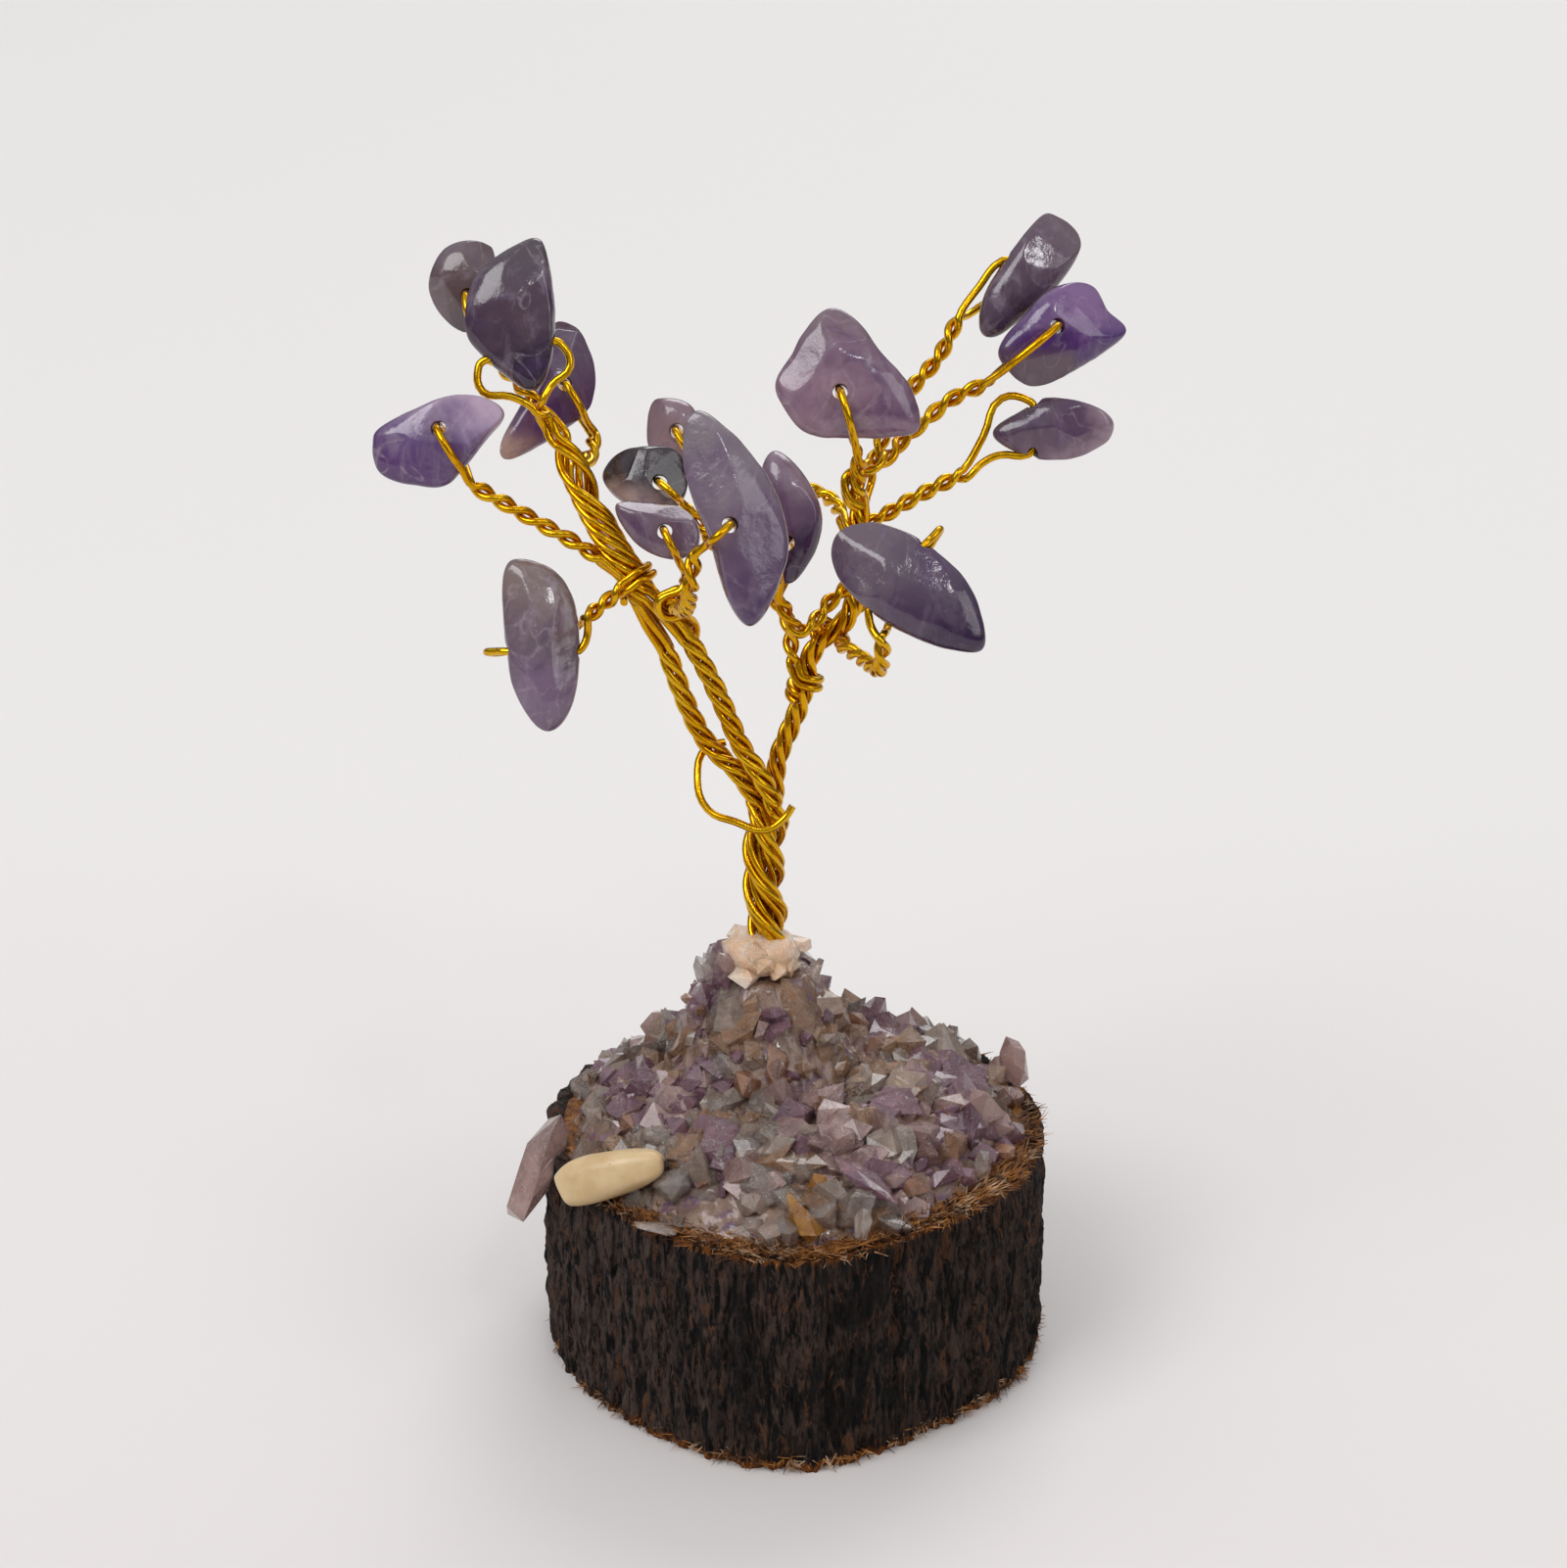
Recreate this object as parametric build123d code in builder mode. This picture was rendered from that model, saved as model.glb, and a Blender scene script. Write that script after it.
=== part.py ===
from build123d import *
from bisect import bisect
from math import atan2, ceil, cos, pi, radians, sin, sqrt, tan
from random import Random
import os

os.makedirs("parts", exist_ok=True)

# A gemstone tree ornament, in millimetres. +Z is up, the viewer stands at -Y, and the origin is the middle
# of the slice's bottom face. Places in the tree are shares of its height, from the middle of the slice's top.

# Driving sizes of the slice and of what is glued to it
slice_radius = 16.8
slice_height = 15.0
bark_thickness = 1.5
ridge_depth = 0.6
wood_ring = 0.9
stem_room = 0.16
rim_height = 1.6
dome_height = 2.2
cone_height = 7.0
cone_radius = 6.4
collar_height = 3.2
collar_radius = 2.7
crystal_size = 2.9

# Driving sizes of the tree
tree_height = 60.0
wire_diameter = 0.5
wire_gap = 0.05
trunk_turn = 9.0
rope_turn = 5.6
limb_turn = 8.2
pair_turn = 2.9
winding_turn = 1.3
crotch_length = 1.8

# Driving sizes of the chips
chip_length = 8.0
chip_thickness = 2.8
bore_clearance = 0.35
loop_gap = 0.12

# How far the mound's rim, dome and cone, the collar, the crystals and the chips slope in, in degrees
rim_slope = 50
dome_slope = 62
cone_slope = 27
collar_slope = 4
collar_top_slope = 30
point_slope = 38
end_slope = 12
chip_slope = 40

# Counts
pair_steps = 6
rope_steps = 7
wire_sides = 4
ridge_count = 54
wood_sides = 24
cone_sides = 10
collar_sides = 8

# A wire's section is this much wider across its corners than round wire, so that it is about as thick
section_share = 1.08

# Wires laid at a slant need this much more room across a rope than they are thick
lay_share = 1.1

# Distances between the wires of a pair, of a rope and of the trunk
pair_radius = lay_share * (wire_diameter + wire_gap) / 2 / cos(pi / pair_steps)
rope_radius = pair_radius * sqrt(2) + wire_diameter / 2
trunk_radius = (rope_radius + wire_gap / 2) / cos(radians(30))
limb_radius = pair_radius / tan(pi / 8)
limb_reach = pair_radius / sin(pi / 8) + wire_diameter / 2
bore_diameter = wire_diameter + 2 * bore_clearance
stem_bore = 2 * (trunk_radius + rope_radius + stem_room)

# Share of the slice's radius at every thirty degrees, from the right side round by the back
rim_shares = (1.0, 0.99, 0.96, 0.93, 0.95, 0.98, 1.0, 1.03, 1.09, 1.19, 1.06, 1.04)

# Where the middle of each stretch of wire runs: across, back and up, in shares of the tree's height
stem_shares = [(-0.025, 0, -0.16), (-0.025, 0, 0), (-0.025, 0, 0.13), (-0.027, 0, 0.21), (-0.033, 0, 0.29),
               (-0.028, 0, 0.372)]
left_rope_shares = [(-0.057, -0.005, 0.408), (-0.093, -0.008, 0.447), (-0.115, -0.008, 0.493),
                    (-0.132, -0.008, 0.543), (-0.144, -0.008, 0.573)]
middle_rope_shares = [(-0.037, -0.013, 0.41), (-0.057, -0.017, 0.447), (-0.077, -0.015, 0.495),
                      (-0.098, -0.012, 0.54), (-0.119, -0.01, 0.572)]
right_rope_shares = [(-0.02, 0.008, 0.413), (-0.007, 0.008, 0.45), (0.007, 0.005, 0.488), (0.013, 0.003, 0.52),
                     (0.018, 0, 0.542), (0.032, -0.002, 0.562), (0.051, 0, 0.577), (0.062, 0.003, 0.6),
                     (0.061, 0.008, 0.633), (0.065, 0.013, 0.67), (0.068, 0.017, 0.697)]
limb_shares = [(-0.155, -0.008, 0.605), (-0.173, -0.007, 0.637), (-0.195, 0.002, 0.672), (-0.22, 0.017, 0.72),
               (-0.243, 0.032, 0.767)]
twig_shares = {
    1: [(-0.267, 0.06, 0.793), (-0.293, 0.088, 0.815)],
    2: [(-0.253, 0.034, 0.785)],
    3: [(-0.226, 0.055, 0.737), (-0.217, 0.105, 0.722)],
    4: [(-0.213, -0.016, 0.662), (-0.248, -0.016, 0.682), (-0.283, -0.016, 0.703)],
    5: [(-0.2, -0.03, 0.605)],
    6: [(0.037, 0.067, 0.69), (-0.017, 0.12, 0.695), (-0.063, 0.155, 0.695)],
    7: [(-0.01, 0.012, 0.583), (-0.043, 0.022, 0.613), (-0.08, 0.033, 0.647)],
    8: [(-0.112, -0.052, 0.634)],
    9: [(-0.128, -0.043, 0.61), (-0.117, -0.085, 0.622), (-0.108, -0.15, 0.645), (-0.103, -0.195, 0.68)],
    10: [(0.037, -0.02, 0.607), (0.018, -0.043, 0.59), (0.002, -0.052, 0.588)],
    11: [(0.065, -0.008, 0.725)],
    12: [(0.05, -0.04, 0.565), (0.068, -0.085, 0.568), (0.083, -0.14, 0.576), (0.087, -0.172, 0.597)],
    13: [(0.078, 0.04, 0.727), (0.095, 0.067, 0.765), (0.123, 0.095, 0.803), (0.15, 0.108, 0.832)],
    14: [(0.09, 0.02, 0.745), (0.11, 0.05, 0.757), (0.135, 0.06, 0.777), (0.16, 0.065, 0.797)],
    15: [(0.087, 0.023, 0.683), (0.115, 0.03, 0.698), (0.148, 0.033, 0.715)],
}

# A loose turn of wire round the fork, in shares of the tree's height
binding_shares = [(-0.073, 0.0125, 0.438), (-0.093, 0.0125, 0.432), (-0.103, -0.008, 0.405),
                  (-0.092, -0.027, 0.377), (-0.062, -0.038, 0.367), (-0.032, -0.039, 0.358),
                  (-0.01, -0.033, 0.37), (-0.002, -0.03, 0.382)]

# Single crystals: what each lies on, where it starts and ends, and how wide and how thick it is in shares of
# a crystal's size. Places on the slice are shares of its radius from the middle of its top, and places on
# the cone are shares of its radius, and upwards of its height, from the middle of its foot.
crystal_shares = {
    "cream_chip": [("slice", (-0.869, -0.619, 0.066), (-0.512, -0.732, 0.083), (1.1, 0.8))],
    "overhanging_crystal": [("slice", (-0.887, -0.202, 0.131), (-1.107, -0.363, -0.298), (1.2, 0.85))],
    "leaf_crystal": [("slice", (0.137, -0.75, 0.19), (0.393, -0.929, 0.08), (0.85, 0.4))],
    "tall_rim_crystal": [("slice", (0.899, 0.202, 0), (0.851, 0.202, 0.25), (0.9, 0.6))],
    "orange_crystal": [("cone", (0.992, 0.439, -0.063), (0.914, 0.439, 0.369), (0.9, 0.8))],
    "large_crystal": [("slice", (0.33, -0.5, 0.14), (0.655, -0.452, 0.12), (1.1, 0.9))],
    "clear_flakes": [("slice", (-0.607, -0.895, 0.02), (-0.417, -0.98, 0.02), (0.65, 0.3)),
                     ("slice", (0.244, -1.03, 0), (0.256, -1.012, 0.16), (0.5, 0.45)),
                     ("cone", (-0.462, -0.047, 0.801), (-0.554, 0, 1.257), (0.55, 0.4))],
}

# Rings of crystals on the mound: how many, how far up its skin, with 0 to 1 on the rim, 1 to 2 on the dome and
# 2 to 3 on the cone, and how far off the skin in crystals
ring_shares = {
    "rim_crystals": [(26, 0.26, 0)],
    "slope_crystals": [(20, 1.34, 0)],
    "shoulder_crystals": [(13, 2, 0.46)],
    "foot_crystals": [(9, 2.32, -0.08), (6, 2.73, -0.07)],
}

# A crystal in shares of its size: how deep its foot lies, its girth, its straight part and its point. The
# smallest solid that is kept, in shares of a cube of that size.
sunk_share = 0.1
girth_share = 0.84
stem_share = 0.22
point_share = 0.26
least_share = 0.035

# A single crystal in shares of its length: its tapered tail, its body and its tapered tip
tail_share = 0.25
body_share = 0.45
tip_share = 0.3

# The flat band round a chip's edge and the slope to each face, in shares of its thickness, from its middle
band_share = 0.2
slope_share = 0.3

# The foot of the collar in shares of its height
collar_foot_share = 0.55

# The chips. Place in the tree of the knot that its wires end in, width, height and thickness, outline, middle
# of the hole, the knot's place beside the chip, and which way it is drilled: through the chip from front to
# back, or across it at an angle, over half of that length. A chip faces the viewer and leans back, and
# heading turns it to the right. Outline, hole and knot are shares of the width and the height, and the rest
# of the sizes are shares of a chip's length and thickness.
chip_lean = 22
chips = {
    1: dict(place_shares=(-0.325, 0.105, 0.843), size_shares=(0.59, 0.72, 0.95), heading=-12,
            outline_shares=[(-0.5, 0.16), (-0.3, 0.43), (0.09, 0.5), (0.45, 0.4), (0.5, 0.03), (0.36, -0.36),
                            (0.03, -0.5), (-0.34, -0.36), (-0.5, -0.12)],
            hole_shares=(0.08, -0.12), knot_shares=(0.29, -0.66), drilled="through"),
    2: dict(place_shares=(-0.264, 0.015, 0.806), size_shares=(0.71, 1.17, 1.05), heading=0,
            outline_shares=[(0.36, 0.5), (0.47, 0.2), (0.5, -0.15), (0.42, -0.4), (0.25, -0.5), (-0.02, -0.42),
                            (-0.45, -0.17), (-0.5, 0.05), (-0.32, 0.28), (0.05, 0.45)],
            hole_shares=(0.1, -0.24), knot_shares=(0.3, -0.6), drilled="across", angle=16, reach_share=0.29),
    3: dict(place_shares=(-0.214, 0.154, 0.733), size_shares=(0.85, 1.16, 0.95), heading=8,
            outline_shares=[(0.14, 0.5), (0.34, 0.42), (0.5, 0.15), (0.44, -0.1), (0.2, -0.27), (-0.39, -0.5),
                            (-0.5, -0.4), (-0.2, -0.05), (0.02, 0.32)],
            hole_shares=(0.17, 0.02), knot_shares=(0.43, -0.34), drilled="through"),
    4: dict(place_shares=(-0.329, -0.02, 0.732), size_shares=(1.02, 0.72, 1.0), heading=-6,
            outline_shares=[(-0.5, -0.05), (-0.42, 0.16), (-0.02, 0.44), (0.3, 0.5), (0.5, 0.32), (0.38, 0.05),
                            (0.2, -0.3), (0.02, -0.5), (-0.42, -0.4)],
            hole_shares=(0.02, 0.12), knot_shares=(0.28, -0.46), drilled="through"),
    5: dict(place_shares=(-0.214, -0.039, 0.597), size_shares=(0.6, 1.34, 1.1), heading=0,
            outline_shares=[(-0.4, 0.5), (0.16, 0.43), (0.42, 0.26), (0.5, 0.02), (0.48, -0.26), (0.3, -0.45),
                            (0, -0.5), (-0.32, -0.3), (-0.46, 0), (-0.5, 0.3)],
            hole_shares=(0, -0.04), knot_shares=(0.6, 0.16), drilled="across", angle=0, reach_share=0.29,
            far_leg="behind"),
    6: dict(place_shares=(-0.101, 0.18, 0.687), size_shares=(0.45, 0.55, 0.8), heading=-8,
            outline_shares=[(-0.5, 0.36), (-0.1, 0.5), (0.34, 0.38), (0.5, 0), (0.36, -0.38), (-0.06, -0.5),
                            (-0.42, -0.25)],
            hole_shares=(0.1, 0), knot_shares=(0.55, -0.56), drilled="through"),
    7: dict(place_shares=(-0.106, 0.037, 0.685), size_shares=(0.68, 0.52, 0.85), heading=0,
            outline_shares=[(-0.5, 0.08), (-0.38, 0.36), (-0.06, 0.5), (0.38, 0.46), (0.5, 0.2), (0.46, -0.28),
                            (0.26, -0.5), (-0.1, -0.46), (-0.36, -0.24)],
            hole_shares=(0.18, -0.06), knot_shares=(0.56, -0.5), drilled="through"),
    8: dict(place_shares=(-0.113, -0.034, 0.642), size_shares=(0.64, 0.47, 0.85), heading=0,
            outline_shares=[(-0.5, 0.42), (-0.18, 0.5), (0.24, 0.42), (0.5, 0.06), (0.48, -0.34), (0.2, -0.5),
                            (-0.14, -0.34), (-0.38, 0)],
            hole_shares=(0.1, -0.04), knot_shares=(0.34, -0.72), drilled="through"),
    9: dict(place_shares=(-0.099, -0.202, 0.716), size_shares=(0.75, 1.6, 1.1), heading=8,
            outline_shares=[(-0.36, 0.5), (-0.5, 0.3), (-0.42, 0.1), (-0.26, -0.1), (-0.14, -0.36), (0.06, -0.5),
                            (0.28, -0.43), (0.46, -0.24), (0.5, -0.06), (0.34, 0.18), (0.02, 0.38)],
            hole_shares=(-0.08, -0.04), knot_shares=(-0.43, -0.17), drilled="through"),
    10: dict(place_shares=(-0.016, -0.063, 0.624), size_shares=(0.51, 1.02, 1.0), heading=-10,
             outline_shares=[(-0.34, 0.5), (0, 0.42), (0.32, 0.22), (0.5, 0), (0.42, -0.26), (0.1, -0.5),
                             (-0.24, -0.4), (-0.5, -0.05), (-0.5, 0.3)],
             hole_shares=(0.02, -0.2), knot_shares=(-0.08, -0.62), drilled="through"),
    11: dict(place_shares=(0.065, -0.032, 0.765), size_shares=(1.12, 1.0, 0.95), heading=0,
             outline_shares=[(-0.1, 0.5), (0.08, 0.38), (0.24, 0.14), (0.42, -0.08), (0.5, -0.44), (0.2, -0.5),
                             (-0.24, -0.49), (-0.42, -0.31), (-0.5, -0.08), (-0.4, 0.1), (-0.26, 0.36)],
             hole_shares=(-0.05, -0.16), knot_shares=(0.08, -0.65), drilled="through"),
    12: dict(place_shares=(0.086, -0.183, 0.624), size_shares=(1.2, 0.95, 1.0), heading=-8,
             outline_shares=[(-0.5, 0.3), (-0.4, 0.47), (-0.2, 0.5), (0.1, 0.34), (0.36, 0.06), (0.5, -0.4),
                             (0.38, -0.5), (0, -0.37), (-0.25, -0.18), (-0.44, 0.05)],
             hole_shares=(-0.075, 0.08), knot_shares=(-0.15, -0.41), drilled="across", angle=52,
             reach_share=0.33, far_leg="behind"),
    13: dict(place_shares=(0.171, 0.122, 0.87), size_shares=(0.88, 1.01, 0.95), heading=0,
             outline_shares=[(0.28, 0.5), (0.5, 0.38), (0.46, 0.14), (0.3, -0.08), (-0.04, -0.36), (-0.28, -0.5),
                             (-0.42, -0.44), (-0.38, -0.16), (-0.16, 0.14), (0.08, 0.4)],
             hole_shares=(0.02, -0.02), knot_shares=(-0.61, -0.36), drilled="across", angle=-35,
             reach_share=0.2, far_leg="behind"),
    14: dict(place_shares=(0.197, 0.052, 0.819), size_shares=(1.03, 0.8, 1.0), heading=10,
             outline_shares=[(-0.05, 0.48), (0.27, 0.5), (0.36, 0.24), (0.5, 0.08), (0.42, -0.1), (-0.2, -0.5),
                             (-0.46, -0.28), (-0.5, -0.08), (-0.3, 0.2)],
             hole_shares=(-0.06, 0.08), knot_shares=(-0.61, -0.43), drilled="through"),
    15: dict(place_shares=(0.177, 0.032, 0.729), size_shares=(0.94, 0.49, 0.85), heading=0,
             outline_shares=[(-0.5, -0.06), (-0.24, 0.3), (-0.02, 0.5), (0.36, 0.44), (0.5, 0.12), (0.46, -0.2),
                             (0.2, -0.46), (-0.1, -0.5), (-0.34, -0.34)],
             hole_shares=(-0.16, 0), knot_shares=(-0.72, -0.72), drilled="across", angle=88, reach_share=0.17),
}


def place(share):
    return Vector(*share) * tree_height + Vector(0, 0, slice_height)


def eased(t):
    t = min(max(t, 0), 1)
    return t * t * (3 - 2 * t)


def curve_value(before, start, end, after, t):
    # A point or a number on the smooth curve from start to end
    slope_in = (end - before) * 0.5
    slope_out = (after - start) * 0.5
    rest = start * 3 * -1 + end * 3 - slope_in * 2 - slope_out
    bend = start * 2 - end * 2 + slope_in + slope_out
    return start + slope_in * t + rest * (t * t) + bend * (t * t * t)


class Route:
    # A smooth line through chosen points, with a side direction that never spins about it
    def __init__(self, points, lead=None, side=Vector(1, 0, 0), fineness=10):
        first = lead or points[0] * 2 - points[1]
        spread = [first, *points, points[-1] * 2 - points[-2]]
        self.points = [points[0]]
        for before, start, end, after in zip(spread, spread[1:], spread[2:], spread[3:]):
            for step in range(1, fineness + 1):
                self.points.append(curve_value(before, start, end, after, step / fineness))
        self.reaches = [0]
        for start, end in zip(self.points, self.points[1:]):
            self.reaches.append(self.reaches[-1] + (end - start).length)
        self.stations = self.reaches[::fineness]
        self.tangents = []
        for i in range(len(self.points)):
            ahead = self.points[min(i + 1, len(self.points) - 1)]
            self.tangents.append((ahead - self.points[max(i - 1, 0)]).normalized())
        self.sides = []
        for tangent in self.tangents:
            side = (side - tangent * side.dot(tangent)).normalized()
            self.sides.append(side)

    def at(self, reach):
        # Middle, side, back and tangent at a distance along the line
        i = min(max(bisect(self.reaches, reach) - 1, 0), len(self.points) - 2)
        t = (reach - self.reaches[i]) / (self.reaches[i + 1] - self.reaches[i])
        middle = self.points[i] + (self.points[i + 1] - self.points[i]) * t
        tangent = (self.tangents[i] + (self.tangents[i + 1] - self.tangents[i]) * t).normalized()
        side = self.sides[i] + (self.sides[i + 1] - self.sides[i]) * t
        side = (side - tangent * side.dot(tangent)).normalized()
        return middle, side, tangent.cross(side), tangent

    def out(self, reach, angle):
        middle, side, back, tangent = self.at(reach)
        return side * cos(angle) + back * sin(angle)

    def angle_of(self, reach, way):
        middle, side, back, tangent = self.at(reach)
        return atan2(way.dot(back), way.dot(side))


def chip_sizes(chip):
    wide, tall, thick = chip["size_shares"]
    return wide * chip_length, tall * chip_length, thick * chip_thickness


def chip_plane(chip):
    # The plane of a chip, set by its knot, so that a longer chip grows away from the wires that carry it
    heading = radians(chip["heading"])
    lean = radians(chip_lean)
    facing = Vector(sin(heading) * cos(lean), -cos(heading) * cos(lean), sin(lean))
    rightward = (cos(heading), sin(heading), 0)
    knot_plane = Plane(origin=place(chip["place_shares"]), x_dir=rightward, z_dir=facing)
    wide, tall, thick = chip_sizes(chip)
    across, up = chip["knot_shares"]
    middle = knot_plane.from_local_coords(Vector(-across * wide, -up * tall, 0))
    return Plane(origin=middle, x_dir=rightward, z_dir=facing)


def chip_hole(chip):
    # Middle of a chip's hole, its direction, and how far the chip reaches along it from there
    plane = chip_plane(chip)
    wide, tall, thick = chip_sizes(chip)
    middle = plane.from_local_coords(Vector(chip["hole_shares"][0] * wide, chip["hole_shares"][1] * tall, 0))
    if chip["drilled"] == "through":
        return middle, plane.z_dir, thick / 2
    angle = radians(chip["angle"])
    way = plane.x_dir * cos(angle) + plane.y_dir * sin(angle)
    return middle, way, chip["reach_share"] * chip_length


def loop_way(chip):
    # Which way the two wires lie apart where the loop starts
    return chip_plane(chip).z_dir if chip.get("far_leg") == "behind" else chip_hole(chip)[1]


def twisted_pair(number, root, lead, side, across, off, hold):
    # Route and line of a twig. It starts as wide off its route as the rope it leaves, lies straight until it
    # is clear, and then twists, left-handed, ending in line with the loop through its chip.
    points = [root] + [place(share) for share in twig_shares[number] + [chips[number]["place_shares"]]]
    route = Route(points, lead=lead, side=side)
    end = route.reaches[-1]
    angle = route.angle_of(0, across)
    last_angle = route.angle_of(end, loop_way(chips[number]))
    wanted = -2 * pi * (end - hold) / pair_turn
    total = wanted + (last_angle - angle - wanted + pi / 2) % pi - pi / 2
    count = max(ceil(abs(total) / (2 * pi) * pair_steps), 2)
    reaches = [hold / 2] + [hold + (end - hold) * i / count for i in range(count + 1)]
    line = []
    for reach in reaches:
        turned = angle + total * max(reach - hold, 0) / (end - hold)
        apart = off * (1 - eased(reach / (2 * hold)))
        line.append((route.at(reach)[0] + apart, route.out(reach, turned)))
    return route, line


def main_line(route, limb, rope_angle, pair_at_end, limb_angle, part):
    # Line of a main pair, from its foot in the wood through trunk and rope, and up the limb if it has one.
    # Returns the line, and how far the pair lies off the middle where it leaves for its twig.
    twist_from, fork = route.stations[2], route.stations[5]
    rope_end = route.stations[11] if limb else part
    approach = rope_end - 2 * crotch_length if limb else rope_end
    samples = [0, route.stations[1], twist_from]
    stretches = [(twist_from, fork, trunk_turn), (fork, approach, rope_turn)]
    if limb:
        stretches += [(approach, rope_end, 2 * crotch_length / 4 * rope_steps), (rope_end, part, limb_turn)]
    for start, end, turn in stretches:
        count = max(ceil((end - start) / turn * rope_steps), 1)
        samples += [start + (end - start) * i / count for i in range(1, count + 1)]
    line = []
    for reach in samples:
        in_trunk = fork - min(max(reach, twist_from), fork)
        in_rope = approach - min(max(reach, fork), approach)
        trunk_way = route.out(reach, rope_angle + 2 * pi * in_trunk / trunk_turn)
        off = trunk_way * trunk_radius * (1 - eased((reach - fork) / (2 * crotch_length)))
        angle = pair_at_end + 2 * pi * (in_trunk / trunk_turn + in_rope / rope_turn)
        inner = route.out(reach, angle) * pair_radius
        if not limb or reach <= approach:
            line.append((route.at(reach)[0] + off + inner, route.out(reach, angle + pi / 2)))
            continue
        carrier = route
        if reach > rope_end:
            carrier = limb
            reach = reach - rope_end + limb.stations[11]
        merged = eased((reach - approach) / (rope_end - approach)) if carrier is route else 1
        up_limb = max(reach - limb.stations[11], 0) if carrier is limb else 0
        across = pair_at_end + (limb_angle - pair_at_end) * merged - 2 * pi * up_limb / limb_turn + pi / 2
        limb_way = carrier.out(reach, limb_angle - 2 * pi * up_limb / limb_turn)
        inner = inner * (1 - merged) + limb_way * limb_radius * merged
        line.append((carrier.at(reach)[0] + inner, carrier.out(reach, across)))
    return line


def tail_line(host, reach, radius, turn, turns, towards):
    # Line of a pair's tail, laid round another wire, from its cut end up to where the pair leaves
    middle, side, back, tangent = host.at(reach)
    way = towards - middle
    root_angle = atan2(way.dot(side), -way.dot(back))
    count = max(ceil(turns * (rope_steps + 1)), 2)
    line = []
    for i in range(count, -1, -1):
        angle = root_angle + 2 * pi * turns * i / count
        below = reach - turn * turns * i / count
        middle, side, back, tangent = host.at(below)
        out = side * cos(angle) + back * sin(angle)
        round_way = side * -sin(angle) + back * cos(angle)
        travel = (tangent * turn - round_way * 2 * pi * radius).normalized()
        wide = radius / cos(pi / (rope_steps + 1))
        line.append((middle + out * wide, out.cross(travel), travel))
    return line


def loop_points(number, knot, across):
    # Points of the loop through a chip, from the pair's one wire to its other
    chip = chips[number]
    hole, way, reach = chip_hole(chip)
    if across.dot(way) < 0:
        way = way * -1
    out = reach + wire_diameter / 2 + loop_gap
    turn_in = out - wire_diameter * 0.7
    drop = knot - hole
    along = drop.dot(way)
    level = drop - way * along
    if chip.get("far_leg") == "behind":
        near = way if along > 0 else way * -1
        behind = chip_plane(chip).z_dir * -(chip_sizes(chip)[2] / 2 + wire_diameter / 2 + loop_gap)
        near_leg = [hole + near * (out + (abs(along) - out) * 0.5 + wire_diameter * 0.3) + level * 0.5]
        near_leg += [hole + near * out + level.normalized() * wire_diameter * 0.6, hole + near * turn_in]
        far_leg = [hole + drop * 0.85 + behind * 0.75, hole + drop * 0.5 + behind * 1.05]
        far_leg += [hole - near * out + behind * 1.15]
        far_leg += [hole - near * (out + wire_diameter * 1.6) + behind * 0.55]
        far_leg += [hole - near * out + behind.normalized() * wire_diameter * 0.6, hole - near * turn_in]
        if across.dot(behind) < 0:
            return near_leg + far_leg[::-1]
        return far_leg + near_leg[::-1]
    legs = []
    rise = min(2 * wire_diameter / level.length, 0.35)
    for side in (1, -1):
        leg = [hole + level * (1 - rise) + way * (along + (side * out - along) * 0.5)]
        leg.append(hole + level * 0.5 + way * side * out * 1.06)
        leg += [hole + level.normalized() * wire_diameter * 0.6 + way * side * out, hole + way * side * turn_in]
        legs += leg if side > 0 else leg[::-1]
    return legs


def wire_path(number, line):
    # The whole path of a doubled wire: up one wire of the pair, through the chip, and down the other
    up = [middle + across * pair_radius for middle, across in line]
    down = [middle - across * pair_radius for middle, across in line]
    return up + loop_points(number, line[-1][0], line[-1][1]) + down[::-1]


# The six main wires reach down into the wood, two to each rope. For each: the rope it is in, the limb if
# it has one, its rope's place round the trunk, its own in the rope and in the limb, and where it leaves
left_route = Route([place(share) for share in stem_shares + left_rope_shares + limb_shares])
middle_route = Route([place(share) for share in stem_shares + middle_rope_shares + limb_shares])
right_route = Route([place(share) for share in stem_shares + right_rope_shares])
limb_top = left_route.reaches[-1] - left_route.stations[11]
main_layout = {
    1: (left_route, left_route, 180, 270, 225, limb_top),
    2: (middle_route, left_route, 300, 90, 45, limb_top),
    3: (left_route, left_route, 180, 90, 135, left_route.stations[14] - left_route.stations[11]),
    4: (middle_route, left_route, 300, 270, 315, left_route.stations[12] - left_route.stations[11]),
    11: (right_route, None, 60, 270, 0, 0),
    13: (right_route, None, 60, 90, 0, 0),
}
hosts = {}
lines = {}
for number, (route, limb, rope_angle, pair_at_end, limb_angle, up_limb) in main_layout.items():
    part = route.stations[11] + up_limb if limb else route.reaches[-1]
    angles = [radians(angle) for angle in (rope_angle, pair_at_end, limb_angle)]
    line = main_line(route, limb, *angles, part)
    carrier, reach = (limb, limb.stations[11] + up_limb) if limb else (route, part)
    root, side, back, tangent = carrier.at(reach)
    lead = root - tangent * crotch_length
    hosts[number], twig = twisted_pair(number, root, lead, side, line[-1][1], line[-1][0] - root, crotch_length)
    lines[number] = line + twig

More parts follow.
